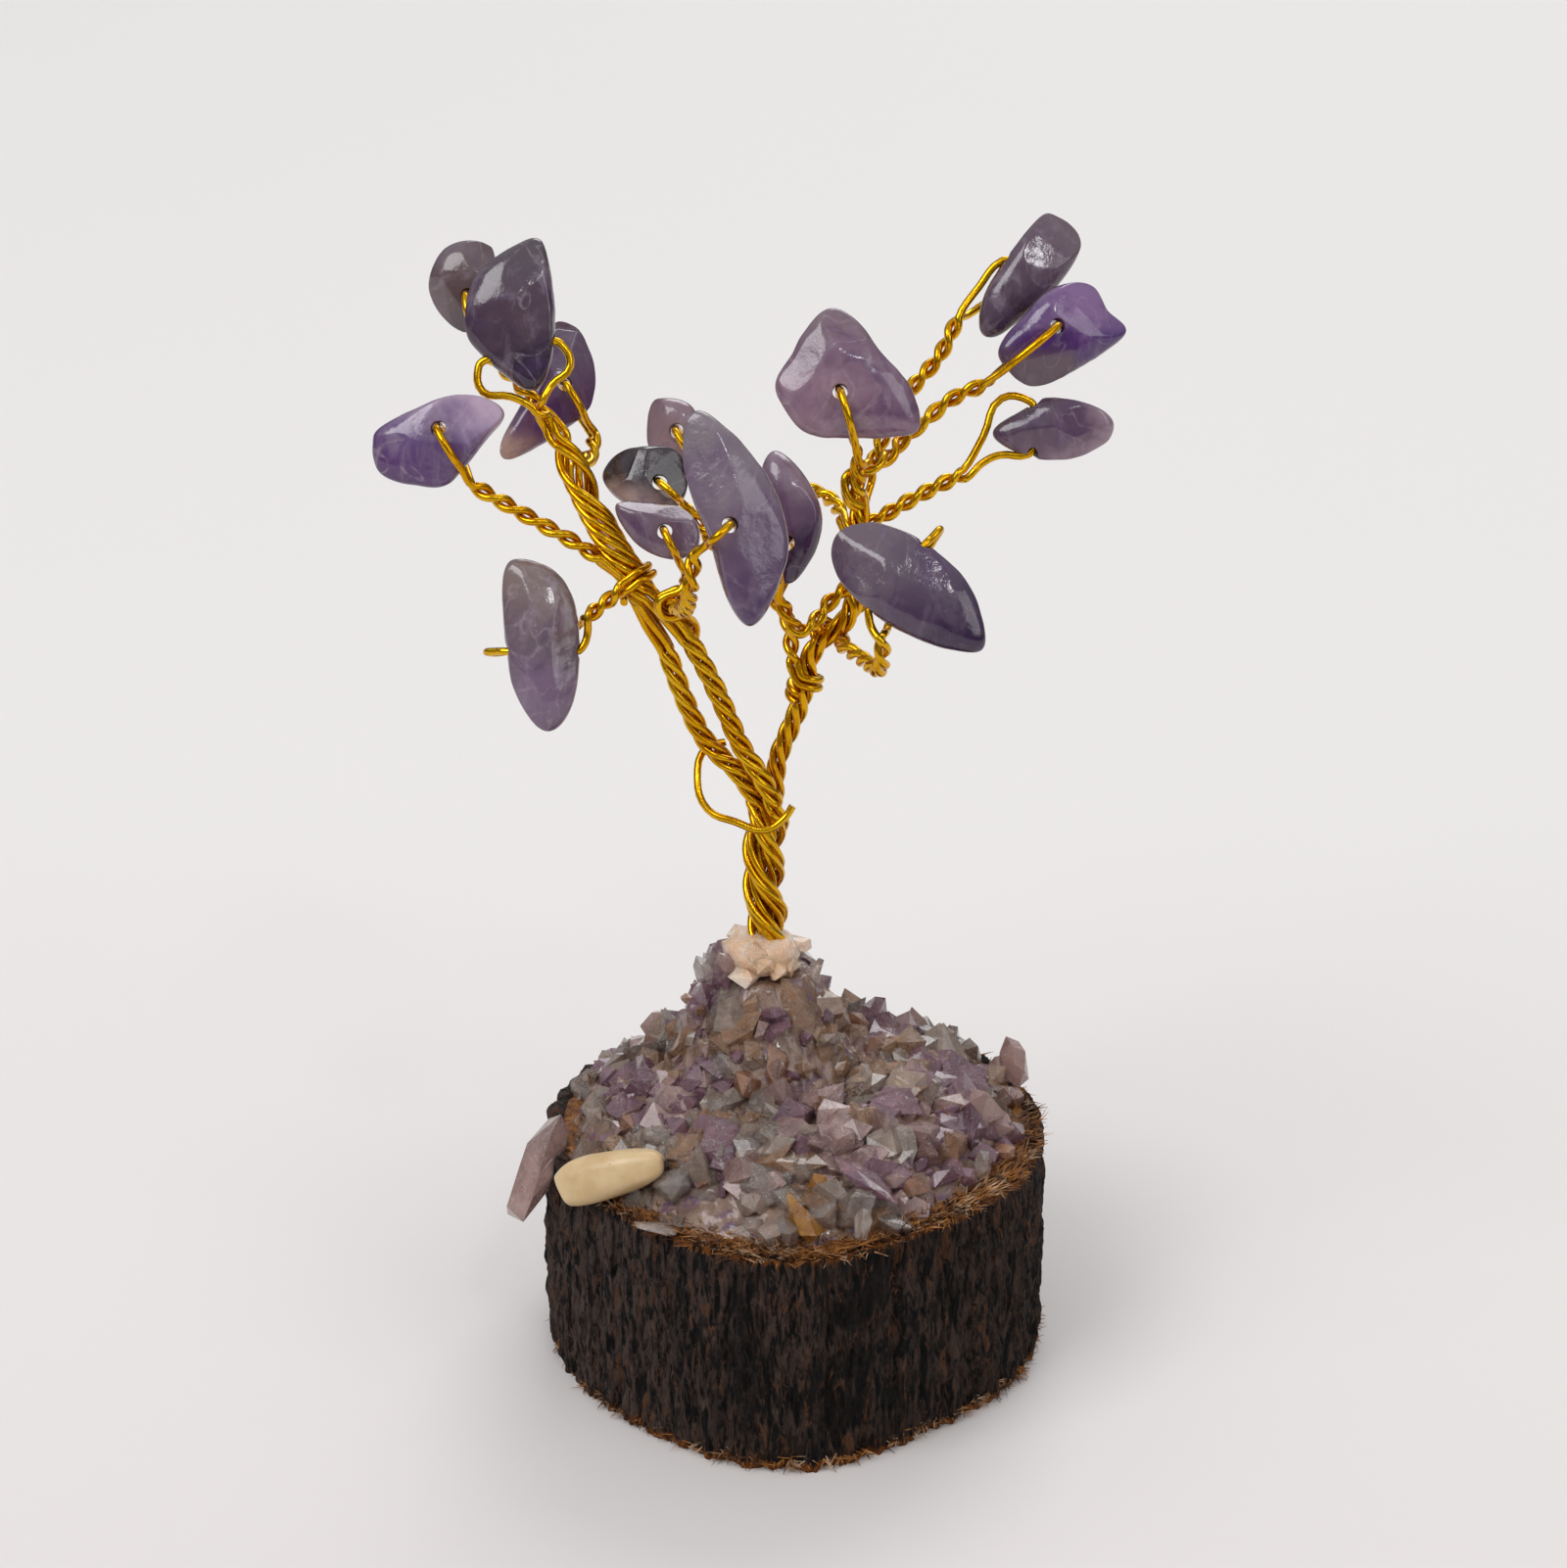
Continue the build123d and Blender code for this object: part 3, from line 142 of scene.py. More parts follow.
# The chips: place of the knot, size in shares of a chip's, outline, hole and knot in shares of the stone, and
# angle and reach of the hole where it runs across. Then the colours from one end of the stone to the other, the
# way they change, smoky and milky shares, how clear the stone is, and how many flats it has
chips = {
    1: dict(place=(-0.325, 0.105, 0.843), size=(0.59, 0.72, 0.95), heading=-12,
        outline=[(-0.5, 0.16), (-0.3, 0.43), (0.09, 0.5), (0.45, 0.4), (0.5, 0.03), (0.36, -0.36),
            (0.03, -0.5), (-0.34, -0.36), (-0.5, -0.12)],
        hole=(0.08, -0.12), knot=(0.29, -0.66),
        colours=[(0.33, 0.28, 0.34), (0.42, 0.35, 0.37), (0.50, 0.46, 0.50)], flow=(-0.4, 1, 0.3),
        smoke=0.5, veil=0.35, clear=0.3, flats=4),
    2: dict(place=(-0.264, 0.015, 0.806), size=(0.71, 1.17, 1.05), heading=0,
        outline=[(0.36, 0.5), (0.47, 0.2), (0.5, -0.15), (0.42, -0.4), (0.25, -0.5), (-0.02, -0.42),
            (-0.45, -0.17), (-0.5, 0.05), (-0.32, 0.28), (0.05, 0.45)],
        hole=(0.1, -0.24), knot=(0.3, -0.6), angle=16, reach=0.29,
        colours=[(0.27, 0.19, 0.34), (0.42, 0.34, 0.45), (0.43, 0.40, 0.46)], flow=(0.1, 1, 0),
        smoke=0.25, veil=0.55, clear=0.25, flats=5, seed=52, dim=0.84),
    3: dict(place=(-0.214, 0.154, 0.733), size=(0.85, 1.16, 0.95), heading=8,
        outline=[(0.14, 0.5), (0.34, 0.42), (0.5, 0.15), (0.44, -0.1), (0.2, -0.27), (-0.39, -0.5),
            (-0.5, -0.4), (-0.2, -0.05), (0.02, 0.32)],
        hole=(0.17, 0.02), knot=(0.43, -0.34),
        colours=[(0.80, 0.70, 0.66), (0.42, 0.28, 0.50), (0.50, 0.46, 0.55)], flow=(1, 0.75, 0),
        smoke=0.1, veil=0.2, clear=0.3, flats=3),
    # Chip 4's lightest colour, at its upper right end, is a painted highlight: the bright reflection on its top
    # facet is put into the stone's colour.
    4: dict(place=(-0.329, -0.02, 0.732), size=(1.02, 0.72, 1.0), heading=-6,
        outline=[(-0.5, -0.05), (-0.42, 0.16), (-0.02, 0.44), (0.3, 0.5), (0.5, 0.32), (0.38, 0.05),
            (0.2, -0.3), (0.02, -0.5), (-0.42, -0.4)],
        hole=(0.02, 0.12), knot=(0.28, -0.46),
        colours=[(0.38, 0.25, 0.50), (0.45, 0.36, 0.60), (0.82, 0.76, 0.90)], flow=(0.55, 1, 0.2),
        smoke=0.05, veil=0.55, clear=0.25, flats=5),
    5: dict(place=(-0.214, -0.039, 0.597), size=(0.6, 1.34, 1.1), heading=0,
        outline=[(-0.4, 0.5), (0.16, 0.43), (0.42, 0.26), (0.5, 0.02), (0.48, -0.26), (0.3, -0.45),
            (0, -0.5), (-0.32, -0.3), (-0.46, 0), (-0.5, 0.3)],
        hole=(0, -0.04), knot=(0.6, 0.16), angle=0, reach=0.29, behind=True,
        colours=[(0.56, 0.49, 0.63), (0.50, 0.45, 0.52), (0.60, 0.56, 0.56)], flow=(0, 1, 0),
        smoke=0.2, veil=0.6, clear=0.35, flats=4),
    6: dict(place=(-0.101, 0.18, 0.687), size=(0.45, 0.55, 0.8), heading=-8,
        outline=[(-0.5, 0.36), (-0.1, 0.5), (0.34, 0.38), (0.5, 0), (0.36, -0.38), (-0.06, -0.5),
            (-0.42, -0.25)],
        hole=(0.1, 0), knot=(0.55, -0.56),
        colours=[(0.74, 0.66, 0.72), (0.70, 0.62, 0.68), (0.64, 0.55, 0.62)], flow=(0, 1, 0),
        smoke=0.05, veil=0.4, clear=0.5, flats=3),
    7: dict(place=(-0.106, 0.037, 0.685), size=(0.68, 0.52, 0.85), heading=0,
        outline=[(-0.5, 0.08), (-0.38, 0.36), (-0.06, 0.5), (0.38, 0.46), (0.5, 0.2), (0.46, -0.28),
            (0.26, -0.5), (-0.1, -0.46), (-0.36, -0.24)],
        hole=(0.18, -0.06), knot=(0.56, -0.5),
        colours=[(0.80, 0.74, 0.74), (0.20, 0.17, 0.21), (0.26, 0.24, 0.27)], flow=(0.1, 1, 0.2),
        smoke=0.3, veil=0.3, clear=0.4, flats=5),
    8: dict(place=(-0.113, -0.034, 0.642), size=(0.64, 0.47, 0.85), heading=0,
        outline=[(-0.5, 0.42), (-0.18, 0.5), (0.24, 0.42), (0.5, 0.06), (0.48, -0.34), (0.2, -0.5),
            (-0.14, -0.34), (-0.38, 0)],
        hole=(0.1, -0.04), knot=(0.34, -0.72),
        colours=[(0.62, 0.54, 0.64), (0.50, 0.42, 0.52), (0.48, 0.40, 0.49)], flow=(0.3, 1, 0),
        smoke=0.15, veil=0.5, clear=0.35, flats=4, slim=0.82),
    9: dict(place=(-0.099, -0.202, 0.716), size=(0.75, 1.6, 1.1), heading=8,
        outline=[(-0.36, 0.5), (-0.5, 0.3), (-0.42, 0.1), (-0.26, -0.1), (-0.14, -0.36), (0.06, -0.5),
            (0.28, -0.43), (0.46, -0.24), (0.5, -0.06), (0.34, 0.18), (0.02, 0.38)],
        hole=(-0.08, -0.04), knot=(-0.43, -0.17),
        colours=[(0.40, 0.32, 0.49), (0.53, 0.46, 0.60), (0.62, 0.60, 0.66)], flow=(-0.15, 1, 0),
        smoke=0.05, veil=0.25, clear=0.2, flats=3, dim=0.92),
    10: dict(place=(-0.016, -0.063, 0.624), size=(0.51, 1.02, 1.0), heading=-10,
        outline=[(-0.34, 0.5), (0, 0.42), (0.32, 0.22), (0.5, 0), (0.42, -0.26), (0.1, -0.5),
            (-0.24, -0.4), (-0.5, -0.05), (-0.5, 0.3)],
        hole=(0.02, -0.2), knot=(-0.08, -0.62),
        colours=[(0.28, 0.20, 0.34), (0.44, 0.35, 0.48), (0.62, 0.56, 0.64)], flow=(0, 1, 0),
        smoke=0.15, veil=0.3, clear=0.25, flats=4),
    11: dict(place=(0.065, -0.032, 0.765), size=(1.12, 1.0, 0.95), heading=0,
        outline=[(-0.1, 0.5), (0.08, 0.38), (0.24, 0.14), (0.42, -0.08), (0.5, -0.44), (0.2, -0.5),
            (-0.24, -0.49), (-0.42, -0.31), (-0.5, -0.08), (-0.4, 0.1), (-0.26, 0.36)],
        hole=(-0.05, -0.16), knot=(0.08, -0.65),
        colours=[(0.68, 0.58, 0.67), (0.54, 0.44, 0.56), (0.56, 0.50, 0.56)], flow=(0.2, 1, 0),
        smoke=0.3, veil=0.45, clear=0.25, flats=4),
    12: dict(place=(0.086, -0.183, 0.624), size=(1.2, 0.95, 1.0), heading=-8,
        outline=[(-0.5, 0.3), (-0.4, 0.47), (-0.2, 0.5), (0.1, 0.34), (0.36, 0.06), (0.5, -0.4),
            (0.38, -0.5), (0, -0.37), (-0.25, -0.18), (-0.44, 0.05)],
        hole=(-0.075, 0.08), knot=(-0.15, -0.41), angle=52, reach=0.33, behind=True,
        colours=[(0.27, 0.17, 0.36), (0.42, 0.34, 0.49), (0.55, 0.50, 0.58)], flow=(-1, 0.8, 0),
        smoke=0.05, veil=0.2, clear=0.2, flats=4, dim=0.84),
    13: dict(place=(0.171, 0.122, 0.87), size=(0.88, 1.01, 0.95), heading=0,
        outline=[(0.28, 0.5), (0.5, 0.38), (0.46, 0.14), (0.3, -0.08), (-0.04, -0.36), (-0.28, -0.5),
            (-0.42, -0.44), (-0.38, -0.16), (-0.16, 0.14), (0.08, 0.4)],
        hole=(0.02, -0.02), knot=(-0.61, -0.36), angle=-35, reach=0.2, behind=True,
        colours=[(0.30, 0.25, 0.33), (0.45, 0.38, 0.48), (0.47, 0.41, 0.47)], flow=(0.4, 1, 0),
        smoke=0.2, veil=0.6, clear=0.4, flats=5),
    14: dict(place=(0.197, 0.052, 0.819), size=(1.03, 0.8, 1.0), heading=10,
        outline=[(-0.05, 0.48), (0.27, 0.5), (0.36, 0.24), (0.5, 0.08), (0.42, -0.1), (-0.2, -0.5),
            (-0.46, -0.28), (-0.5, -0.08), (-0.3, 0.2)],
        hole=(-0.06, 0.08), knot=(-0.61, -0.43),
        colours=[(0.52, 0.44, 0.52), (0.40, 0.24, 0.60), (0.66, 0.52, 0.80)], flow=(0.2, 1, 0.1),
        smoke=0.1, veil=0.4, clear=0.3, flats=5, dim=0.88),
    15: dict(place=(0.177, 0.032, 0.729), size=(0.94, 0.49, 0.85), heading=0,
        outline=[(-0.5, -0.06), (-0.24, 0.3), (-0.02, 0.5), (0.36, 0.44), (0.5, 0.12), (0.46, -0.2),
            (0.2, -0.46), (-0.1, -0.5), (-0.34, -0.34)],
        hole=(-0.16, 0), knot=(-0.72, -0.72), angle=88, reach=0.17,
        colours=[(0.33, 0.29, 0.38), (0.42, 0.33, 0.44), (0.72, 0.65, 0.74)], flow=(1, -0.5, 0),
        smoke=0.2, veil=0.35, clear=0.3, flats=5),
}


def chipFrame(chip):
    heading, lean = radians(chip["heading"]), radians(chipSize["lean"])
    facing = Vector((sin(heading) * cos(lean), -cos(heading) * cos(lean), sin(lean)))
    across = Vector((cos(heading), sin(heading), 0))
    up = facing.cross(across)
    wide, tall, thick = chipSizes(chip)
    middle = place(chip["place"]) - across * chip["knot"][0] * wide - up * chip["knot"][1] * tall
    return middle, across, up, facing


def chipSizes(chip):
    wide, tall, thick = chip["size"]
    return wide * chipSize["length"], tall * chipSize["length"], thick * chipSize["thickness"]


def onChip(chip, share):
    middle, across, up, facing = chipFrame(chip)
    wide, tall, thick = chipSizes(chip)
    return middle + across * share[0] * wide + up * share[1] * tall


def chipHole(chip):
    middle, across, up, facing = chipFrame(chip)
    if "angle" not in chip:
        return onChip(chip, chip["hole"]), facing, chipSizes(chip)[2] / 2
    angle = radians(chip["angle"])
    way = across * cos(angle) + up * sin(angle)
    return onChip(chip, chip["hole"]), way, chip["reach"] * chipSize["length"]


def twistedPair(number, root, lead, side, across, off, hold):
    chip = chips[number]
    points = [root] + [place(share) for share in twigShares[number] + [chip["place"]]]
    route = Route(points, lead=lead, side=side)
    end = route.reaches[-1]
    angle = route.angleOf(0, across)
    loopWay = chipFrame(chip)[3] if chip.get("behind") else chipHole(chip)[1]
    wanted = -2 * pi * (end - hold) / tree["pairTurn"]
    total = wanted + (route.angleOf(end, loopWay) - angle - wanted + pi / 2) % pi - pi / 2
    count = max(ceil(abs(total) / (2 * pi) * tree["pairSteps"]), 4)
    line = []
    for reach in [hold / 2] + [hold + (end - hold) * i / count for i in range(count + 1)]:
        turned = angle + total * max(reach - hold, 0) / (end - hold)
        apart = off * (1 - eased(reach / (2 * hold)))
        line.append((route.at(reach)[0] + apart, route.out(reach, turned)))
    return route, line


pairRadius = tree["pairRadius"]
ropeRadius = pairRadius * sqrt(2) + tree["wire"] / 2
trunkRadius = (ropeRadius + tree["trunkGap"]) / cos(radians(30))
limbRadius = pairRadius / tan(pi / 8)
limbReach = pairRadius / sin(pi / 8) + tree["wire"] / 2


def mainLine(route, limb, ropeAngle, pairAtEnd, limbAngle, part):
    twistFrom, fork = route.stations[knots["twist"]], route.stations[knots["fork"]]
    ropeEnd = route.stations[knots["limb"]] if limb else part
    approach = ropeEnd - 2 * tree["crotch"] if limb else ropeEnd
    samples = [0, route.stations[1], twistFrom]
    stretches = [(twistFrom, fork, tree["trunkTurn"]), (fork, approach, tree["ropeTurn"])]
    if limb:
        stretches += [(approach, ropeEnd, tree["joinTurn"]), (ropeEnd, part, tree["limbTurn"])]
    for start, end, turn in stretches:
        count = max(ceil((end - start) / turn * tree["ropeSteps"]), 1)
        samples += [start + (end - start) * i / count for i in range(1, count + 1)]
    line = []
    for reach in samples:
        inTrunk = fork - min(max(reach, twistFrom), fork)
        inRope = approach - min(max(reach, fork), approach)
        trunkWay = route.out(reach, ropeAngle + 2 * pi * inTrunk / tree["trunkTurn"])
        off = trunkWay * trunkRadius * (1 - eased((reach - fork) / (2 * tree["crotch"])))
        angle = pairAtEnd + 2 * pi * (inTrunk / tree["trunkTurn"] + inRope / tree["ropeTurn"])
        inner = route.out(reach, angle) * pairRadius
        if not limb or reach <= approach:
            line.append((route.at(reach)[0] + off + inner, route.out(reach, angle + pi / 2)))
            continue
        carrier = route
        if reach > ropeEnd:
            carrier = limb
            reach = reach - ropeEnd + limb.stations[knots["limb"]]
        merged = eased((reach - approach) / (ropeEnd - approach)) if carrier is route else 1
        upLimb = max(reach - limb.stations[knots["limb"]], 0) if carrier is limb else 0
        turned = pairAtEnd + (limbAngle - pairAtEnd) * merged - 2 * pi * upLimb / tree["limbTurn"] + pi / 2
        limbWay = carrier.out(reach, limbAngle - 2 * pi * upLimb / tree["limbTurn"])
        inner = inner * (1 - merged) + limbWay * limbRadius * merged
        line.append((carrier.at(reach)[0] + inner, carrier.out(reach, turned)))
    return line


def tailLine(host, reach, radius, turn, turns, towards):
    middle, side, back, tangent = host.at(reach)
    way = towards - middle
    rootAngle = atan2(way.dot(side), -way.dot(back))
    count = max(ceil(turns * tree["tailSteps"]), 3)
    line = []
    for i in range(count, -1, -1):
        angle = rootAngle + 2 * pi * turns * i / count
        middle, side, back, tangent = host.at(reach - turn * turns * i / count)
        out = side * cos(angle) + back * sin(angle)
        roundWay = side * -sin(angle) + back * cos(angle)
        travel = (tangent * turn - roundWay * 2 * pi * radius).normalized()
        line.append((middle + out * radius, out.cross(travel), travel))
    return line


def loopPoints(number, knot, across):
    chip = chips[number]
    hole, way, reach = chipHole(chip)
    if across.dot(way) < 0:
        way = -way
    wire = tree["wire"]
    out = reach + wire / 2 + chipSize["loopGap"]
    turnIn = out - wire * 0.7
    drop = knot - hole
    along = drop.dot(way)
    level = drop - way * along
    if chip.get("behind"):
        near = way if along > 0 else -way
        behind = chipFrame(chip)[3] * -(chipSizes(chip)[2] / 2 + wire / 2 + chipSize["loopGap"])
        nearLeg = [hole + near * (out + (abs(along) - out) * 0.5 + wire * 0.3) + level * 0.5]
        nearLeg += [hole + near * out + level.normalized() * wire * 0.6, hole + near * turnIn]
        farLeg = [hole + drop * 0.85 + behind * 0.75, hole + drop * 0.5 + behind * 1.05]
        farLeg += [hole - near * out + behind * 1.15]
        farLeg += [hole - near * (out + wire * 1.6) + behind * 0.55]
        farLeg += [hole - near * out + behind.normalized() * wire * 0.6, hole - near * turnIn]
        if across.dot(behind) < 0:
            return nearLeg + farLeg[::-1]
        return farLeg + nearLeg[::-1]
    legs = []
    rise = min(2 * wire / level.length, 0.35)
    for side in (1, -1):
        leg = [hole + level * (1 - rise) + way * (along + (side * out - along) * 0.5)]
        leg.append(hole + level * 0.5 + way * side * out * 1.06)
        leg += [hole + level.normalized() * wire * 0.6 + way * side * out, hole + way * side * turnIn]
        legs += leg if side > 0 else leg[::-1]
    return legs


leftRoute = Route([place(share) for share in stemShares + leftShares + limbShares])
middleRoute = Route([place(share) for share in stemShares + middleShares + limbShares])
rightRoute = Route([place(share) for share in stemShares + rightShares])
limbStart = leftRoute.stations[knots["limb"]]
# Main wires: route, limb, turns of the rope in the trunk, the pair in the rope and the pair in the limb, and how
# far up the limb the pair stays
mainLayout = {
    1: (leftRoute, leftRoute, 180, 270, 225, leftRoute.reaches[-1] - limbStart),
    2: (middleRoute, leftRoute, 300, 90, 45, leftRoute.reaches[-1] - limbStart),
    3: (leftRoute, leftRoute, 180, 90, 135, leftRoute.stations[14] - limbStart),
    4: (middleRoute, leftRoute, 300, 270, 315, leftRoute.stations[12] - limbStart),
    11: (rightRoute, None, 60, 270, 0, 0),
    13: (rightRoute, None, 60, 90, 0, 0),
}
hosts, lines = {}, {}
for number, (route, limb, ropeAngle, pairAtEnd, limbAngle, upLimb) in mainLayout.items():
    part = route.stations[knots["limb"]] + upLimb if limb else route.reaches[-1]
    line = mainLine(route, limb, radians(ropeAngle), radians(pairAtEnd), radians(limbAngle), part)
    carrier, reach = (limb, limb.stations[knots["limb"]] + upLimb) if limb else (route, part)
    root, side, back, tangent = carrier.at(reach)
    lead = root - tangent * tree["crotch"]
    end, across = line[-1]
    hosts[number], twig = twistedPair(number, root, lead, side, across, end - root, tree["crotch"])
    lines[number] = line + twig
laid = ropeRadius + tree["wire"] / 2 + tree["laidGap"]
woundLimb = limbReach + tree["wire"] / 2 + tree["laidGap"]
onPair = pairRadius + tree["wire"] + tree["laidGap"]
# Side wires: what they are wound on, from which of its points and how far past it, radius, travel of a turn, turns
tailLayout = {
    5: (leftRoute, 11, 0.78, woundLimb, tree["windingTurn"], 0.7),
    9: (middleRoute, 10, 0.0, laid, tree["ropeTurn"], 0.25),
    7: (rightRoute, 8, 0.9, laid, tree["windingTurn"], 1.0),
    12: (rightRoute, 11, 0.5, laid, tree["windingTurn"], 0.6),
    10: (rightRoute, 13, 0.7, laid, tree["ropeTurn"], 0.35),
    15: (rightRoute, 14, 0.95, laid, tree["ropeTurn"], 0.15),
    6: (rightRoute, 15, 0.2, laid, tree["ropeTurn"], 0.35),
    14: (11, 1, 0.2, onPair, tree["pairTurn"] * 1.4, 0.35),
    8: (9, 1, 0.3, onPair, tree["windingTurn"], 0.7),
}
for number, (host, station, past, radius, turn, turns) in tailLayout.items():
    host = hosts.get(host, host)
    reach = host.stations[station]
    if past:
        reach += (host.stations[station + 1] - reach) * past
    towards = place(twigShares[number][0])
    tail = tailLine(host, reach, radius, turn, turns, towards)
    root, across, travel = tail[-1]
    lead = root - travel * (towards - root).length
    side = host.at(reach)[3]
    hosts[number], twig = twistedPair(number, root, lead, side, across, Vector(), tree["crotch"] * 0.7)
    lines[number] = [(middle, across) for middle, across, travel in tail] + twig
print("routes of the wires")


# Meshes and pieces
def linked(name, data):
    made = bpy.data.objects.new(name, data)
    bpy.context.collection.objects.link(made)
    return made


def ball(fineness):
    bm = bmesh.new()
    bmesh.ops.create_icosphere(bm, subdivisions=fineness, radius=1)
    return bm


def standing(spot, way):
    # The frame of a cone that stands at a spot, with its axis along a way
    return Matrix.Translation(spot / 1000) @ way.to_track_quat("Z", "Y").to_matrix().to_4x4()


def turnOf(spot):
    return atan2(spot.y, spot.x)


def between(rows, turn):
    # The value at a turn, from rows of turns and values
    i = min(max(bisect(rows, turn, key=lambda row: row[0]), 1), len(rows) - 1)
    (start, first), (end, last) = rows[i - 1], rows[i]
    share = (turn - start) / max(end - start, 1e-6)
    return first * (1 - share) + last * share


def meshOf(bm, name):
    bmesh.ops.recalc_face_normals(bm, faces=bm.faces)
    mesh = bpy.data.meshes.new(name)
    bm.to_mesh(mesh)
    bm.free()
    return mesh


def piece(shape, name, materials, body, nodes=(), smooth=True):
    mesh = shape if isinstance(shape, bpy.types.Mesh) else meshOf(shape, name)
    mesh.polygons.foreach_set("use_smooth", [smooth] * len(mesh.polygons))
    made = linked(name, mesh)
    for material in materials:
        mesh.materials.append(material)
    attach(made, body)
    if nodes:
        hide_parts(*nodes)


def worked(model):
    return bpy.data.meshes.new_from_object(model.evaluated_get(bpy.context.evaluated_depsgraph_get()))


ragged = dict(shift=(7.3, 3.1, 5.7), dimension=0.9, gap=2.1)


def fractal(point, scale, octaves, seed):
    place = point * scale + Vector([seed * part for part in ragged["shift"]])
    return noise.fractal(place, ragged["dimension"], ragged["gap"], octaves)


# Materials
class Signal:
    def __init__(self, graph, socket):
        self.graph, self.socket = graph, socket

    def math(self, operation, first, second=0.0):
        return self.graph.add("ShaderNodeMath", {"operation": operation}, 0, first, second)

    def __add__(self, other):
        return self.math("ADD", self, other)

    def __sub__(self, other):
        return self.math("SUBTRACT", self, other)

    def __mul__(self, other):
        return self.math("MULTIPLY", self, other)

    def __truediv__(self, other):
        return self.math("DIVIDE", self, other)

    def size(self):
        return self.math("ABSOLUTE", self)

    def ramp(self, low, high, first=0.0, last=1.0):
        return self.graph.add("ShaderNodeMapRange", {"interpolation_type": "SMOOTHSTEP"}, "Result",
                              self, low, high, first, last)


# A colour as it looks, turned to the light that it stands for
def ink(colour):
    return tuple(c ** 2.2 for c in colour) + (1.0,)


class Graph:
    def __init__(self, holder):
        self.holder = holder
        holder.use_nodes = True
        self.tree = holder.node_tree
        self.nodes = self.tree.nodes

    def feed(self, slot, value):
        if isinstance(value, Signal):
            self.tree.links.new(value.socket, slot)
        elif slot.type == "RGBA" and len(value) == 3:
            slot.default_value = ink(value)
        else:
            slot.default_value = value

    def add(self, kind, settings, output, *ordered, **named):
        node = self.nodes.new(kind)
        for name, value in settings.items():
            setattr(node, name, value)
        for slot, value in zip(node.inputs, ordered):
            self.feed(slot, value)
        for name, value in named.items():
            self.feed(node.inputs[name.replace("_", " ")], value)
        return Signal(self, node.outputs[output])

    def vector(self, operation, first, second, output=0):
        return self.add("ShaderNodeVectorMath", {"operation": operation}, output, first, second)

    def mix(self, share, first, second):
        node = self.nodes.new("ShaderNodeMix")
        node.data_type = "RGBA"
        for slot, value in zip((node.inputs[0], node.inputs[6], node.inputs[7]), (share, first, second)):
            self.feed(slot, value)
        return Signal(self, node.outputs[2])


class Finish(Graph):
    def __init__(self, name):
        super().__init__(bpy.data.materials.new(name))
        self.shader = self.nodes["Principled BSDF"]
        self.point = self.add("ShaderNodeTexCoord", {}, "Object")

    def grain(self, scale, detail=3, rough=0.55, distort=0.0, stretch=(1, 1, 1)):
        # Noise with its scale in features per millimetre
        point = self.vector("MULTIPLY", self.point, stretch) if stretch != (1, 1, 1) else self.point
        return self.add("ShaderNodeTexNoise", {}, "Fac", Vector=point, Scale=scale * 1000, Detail=detail,
                        Roughness=rough, Distortion=distort)

    def level(self, axis):
        return self.add("ShaderNodeSeparateXYZ", {}, axis, self.point) * 1000

    def blend(self, share, first, second):
        self.colour = self.mix(share, first, second)

    def tint(self, share, colour):
        self.blend(share, self.colour, colour)

    def made(self, roughness, bump=None, height=0.05, **constants):
        self.feed(self.shader.inputs["Base Color"], self.colour)
        self.feed(self.shader.inputs["Roughness"], roughness)
        for name, value in constants.items():
            self.shader.inputs[name.replace("_", " ")].default_value = value
        if bump:
            raised = dict(Height=bump, Strength=1.0, Distance=height / 1000)
            self.feed(self.shader.inputs["Normal"], self.add("ShaderNodeBump", {}, "Normal", **raised))
        return self.holder


def goldFinish():
    g = Finish("gold_wire")
    tint = g.grain(0.35, 3).ramp(0.35, 0.68)
    worn = g.grain(1.6, 4, 0.7).ramp(0.5, 0.7)
    scratch = g.grain(2.6, 4, 0.7)
    g.blend(tint, (0.88, 0.68, 0.14), (0.82, 0.58, 0.07))
    g.tint(worn * 0.5, (0.58, 0.37, 0.05))
    return g.made(scratch.ramp(0.3, 0.8, 0.14, 0.34), scratch, 0.014, Metallic=1.0)


stoneTone = (0.9, 0.84, 0.82)


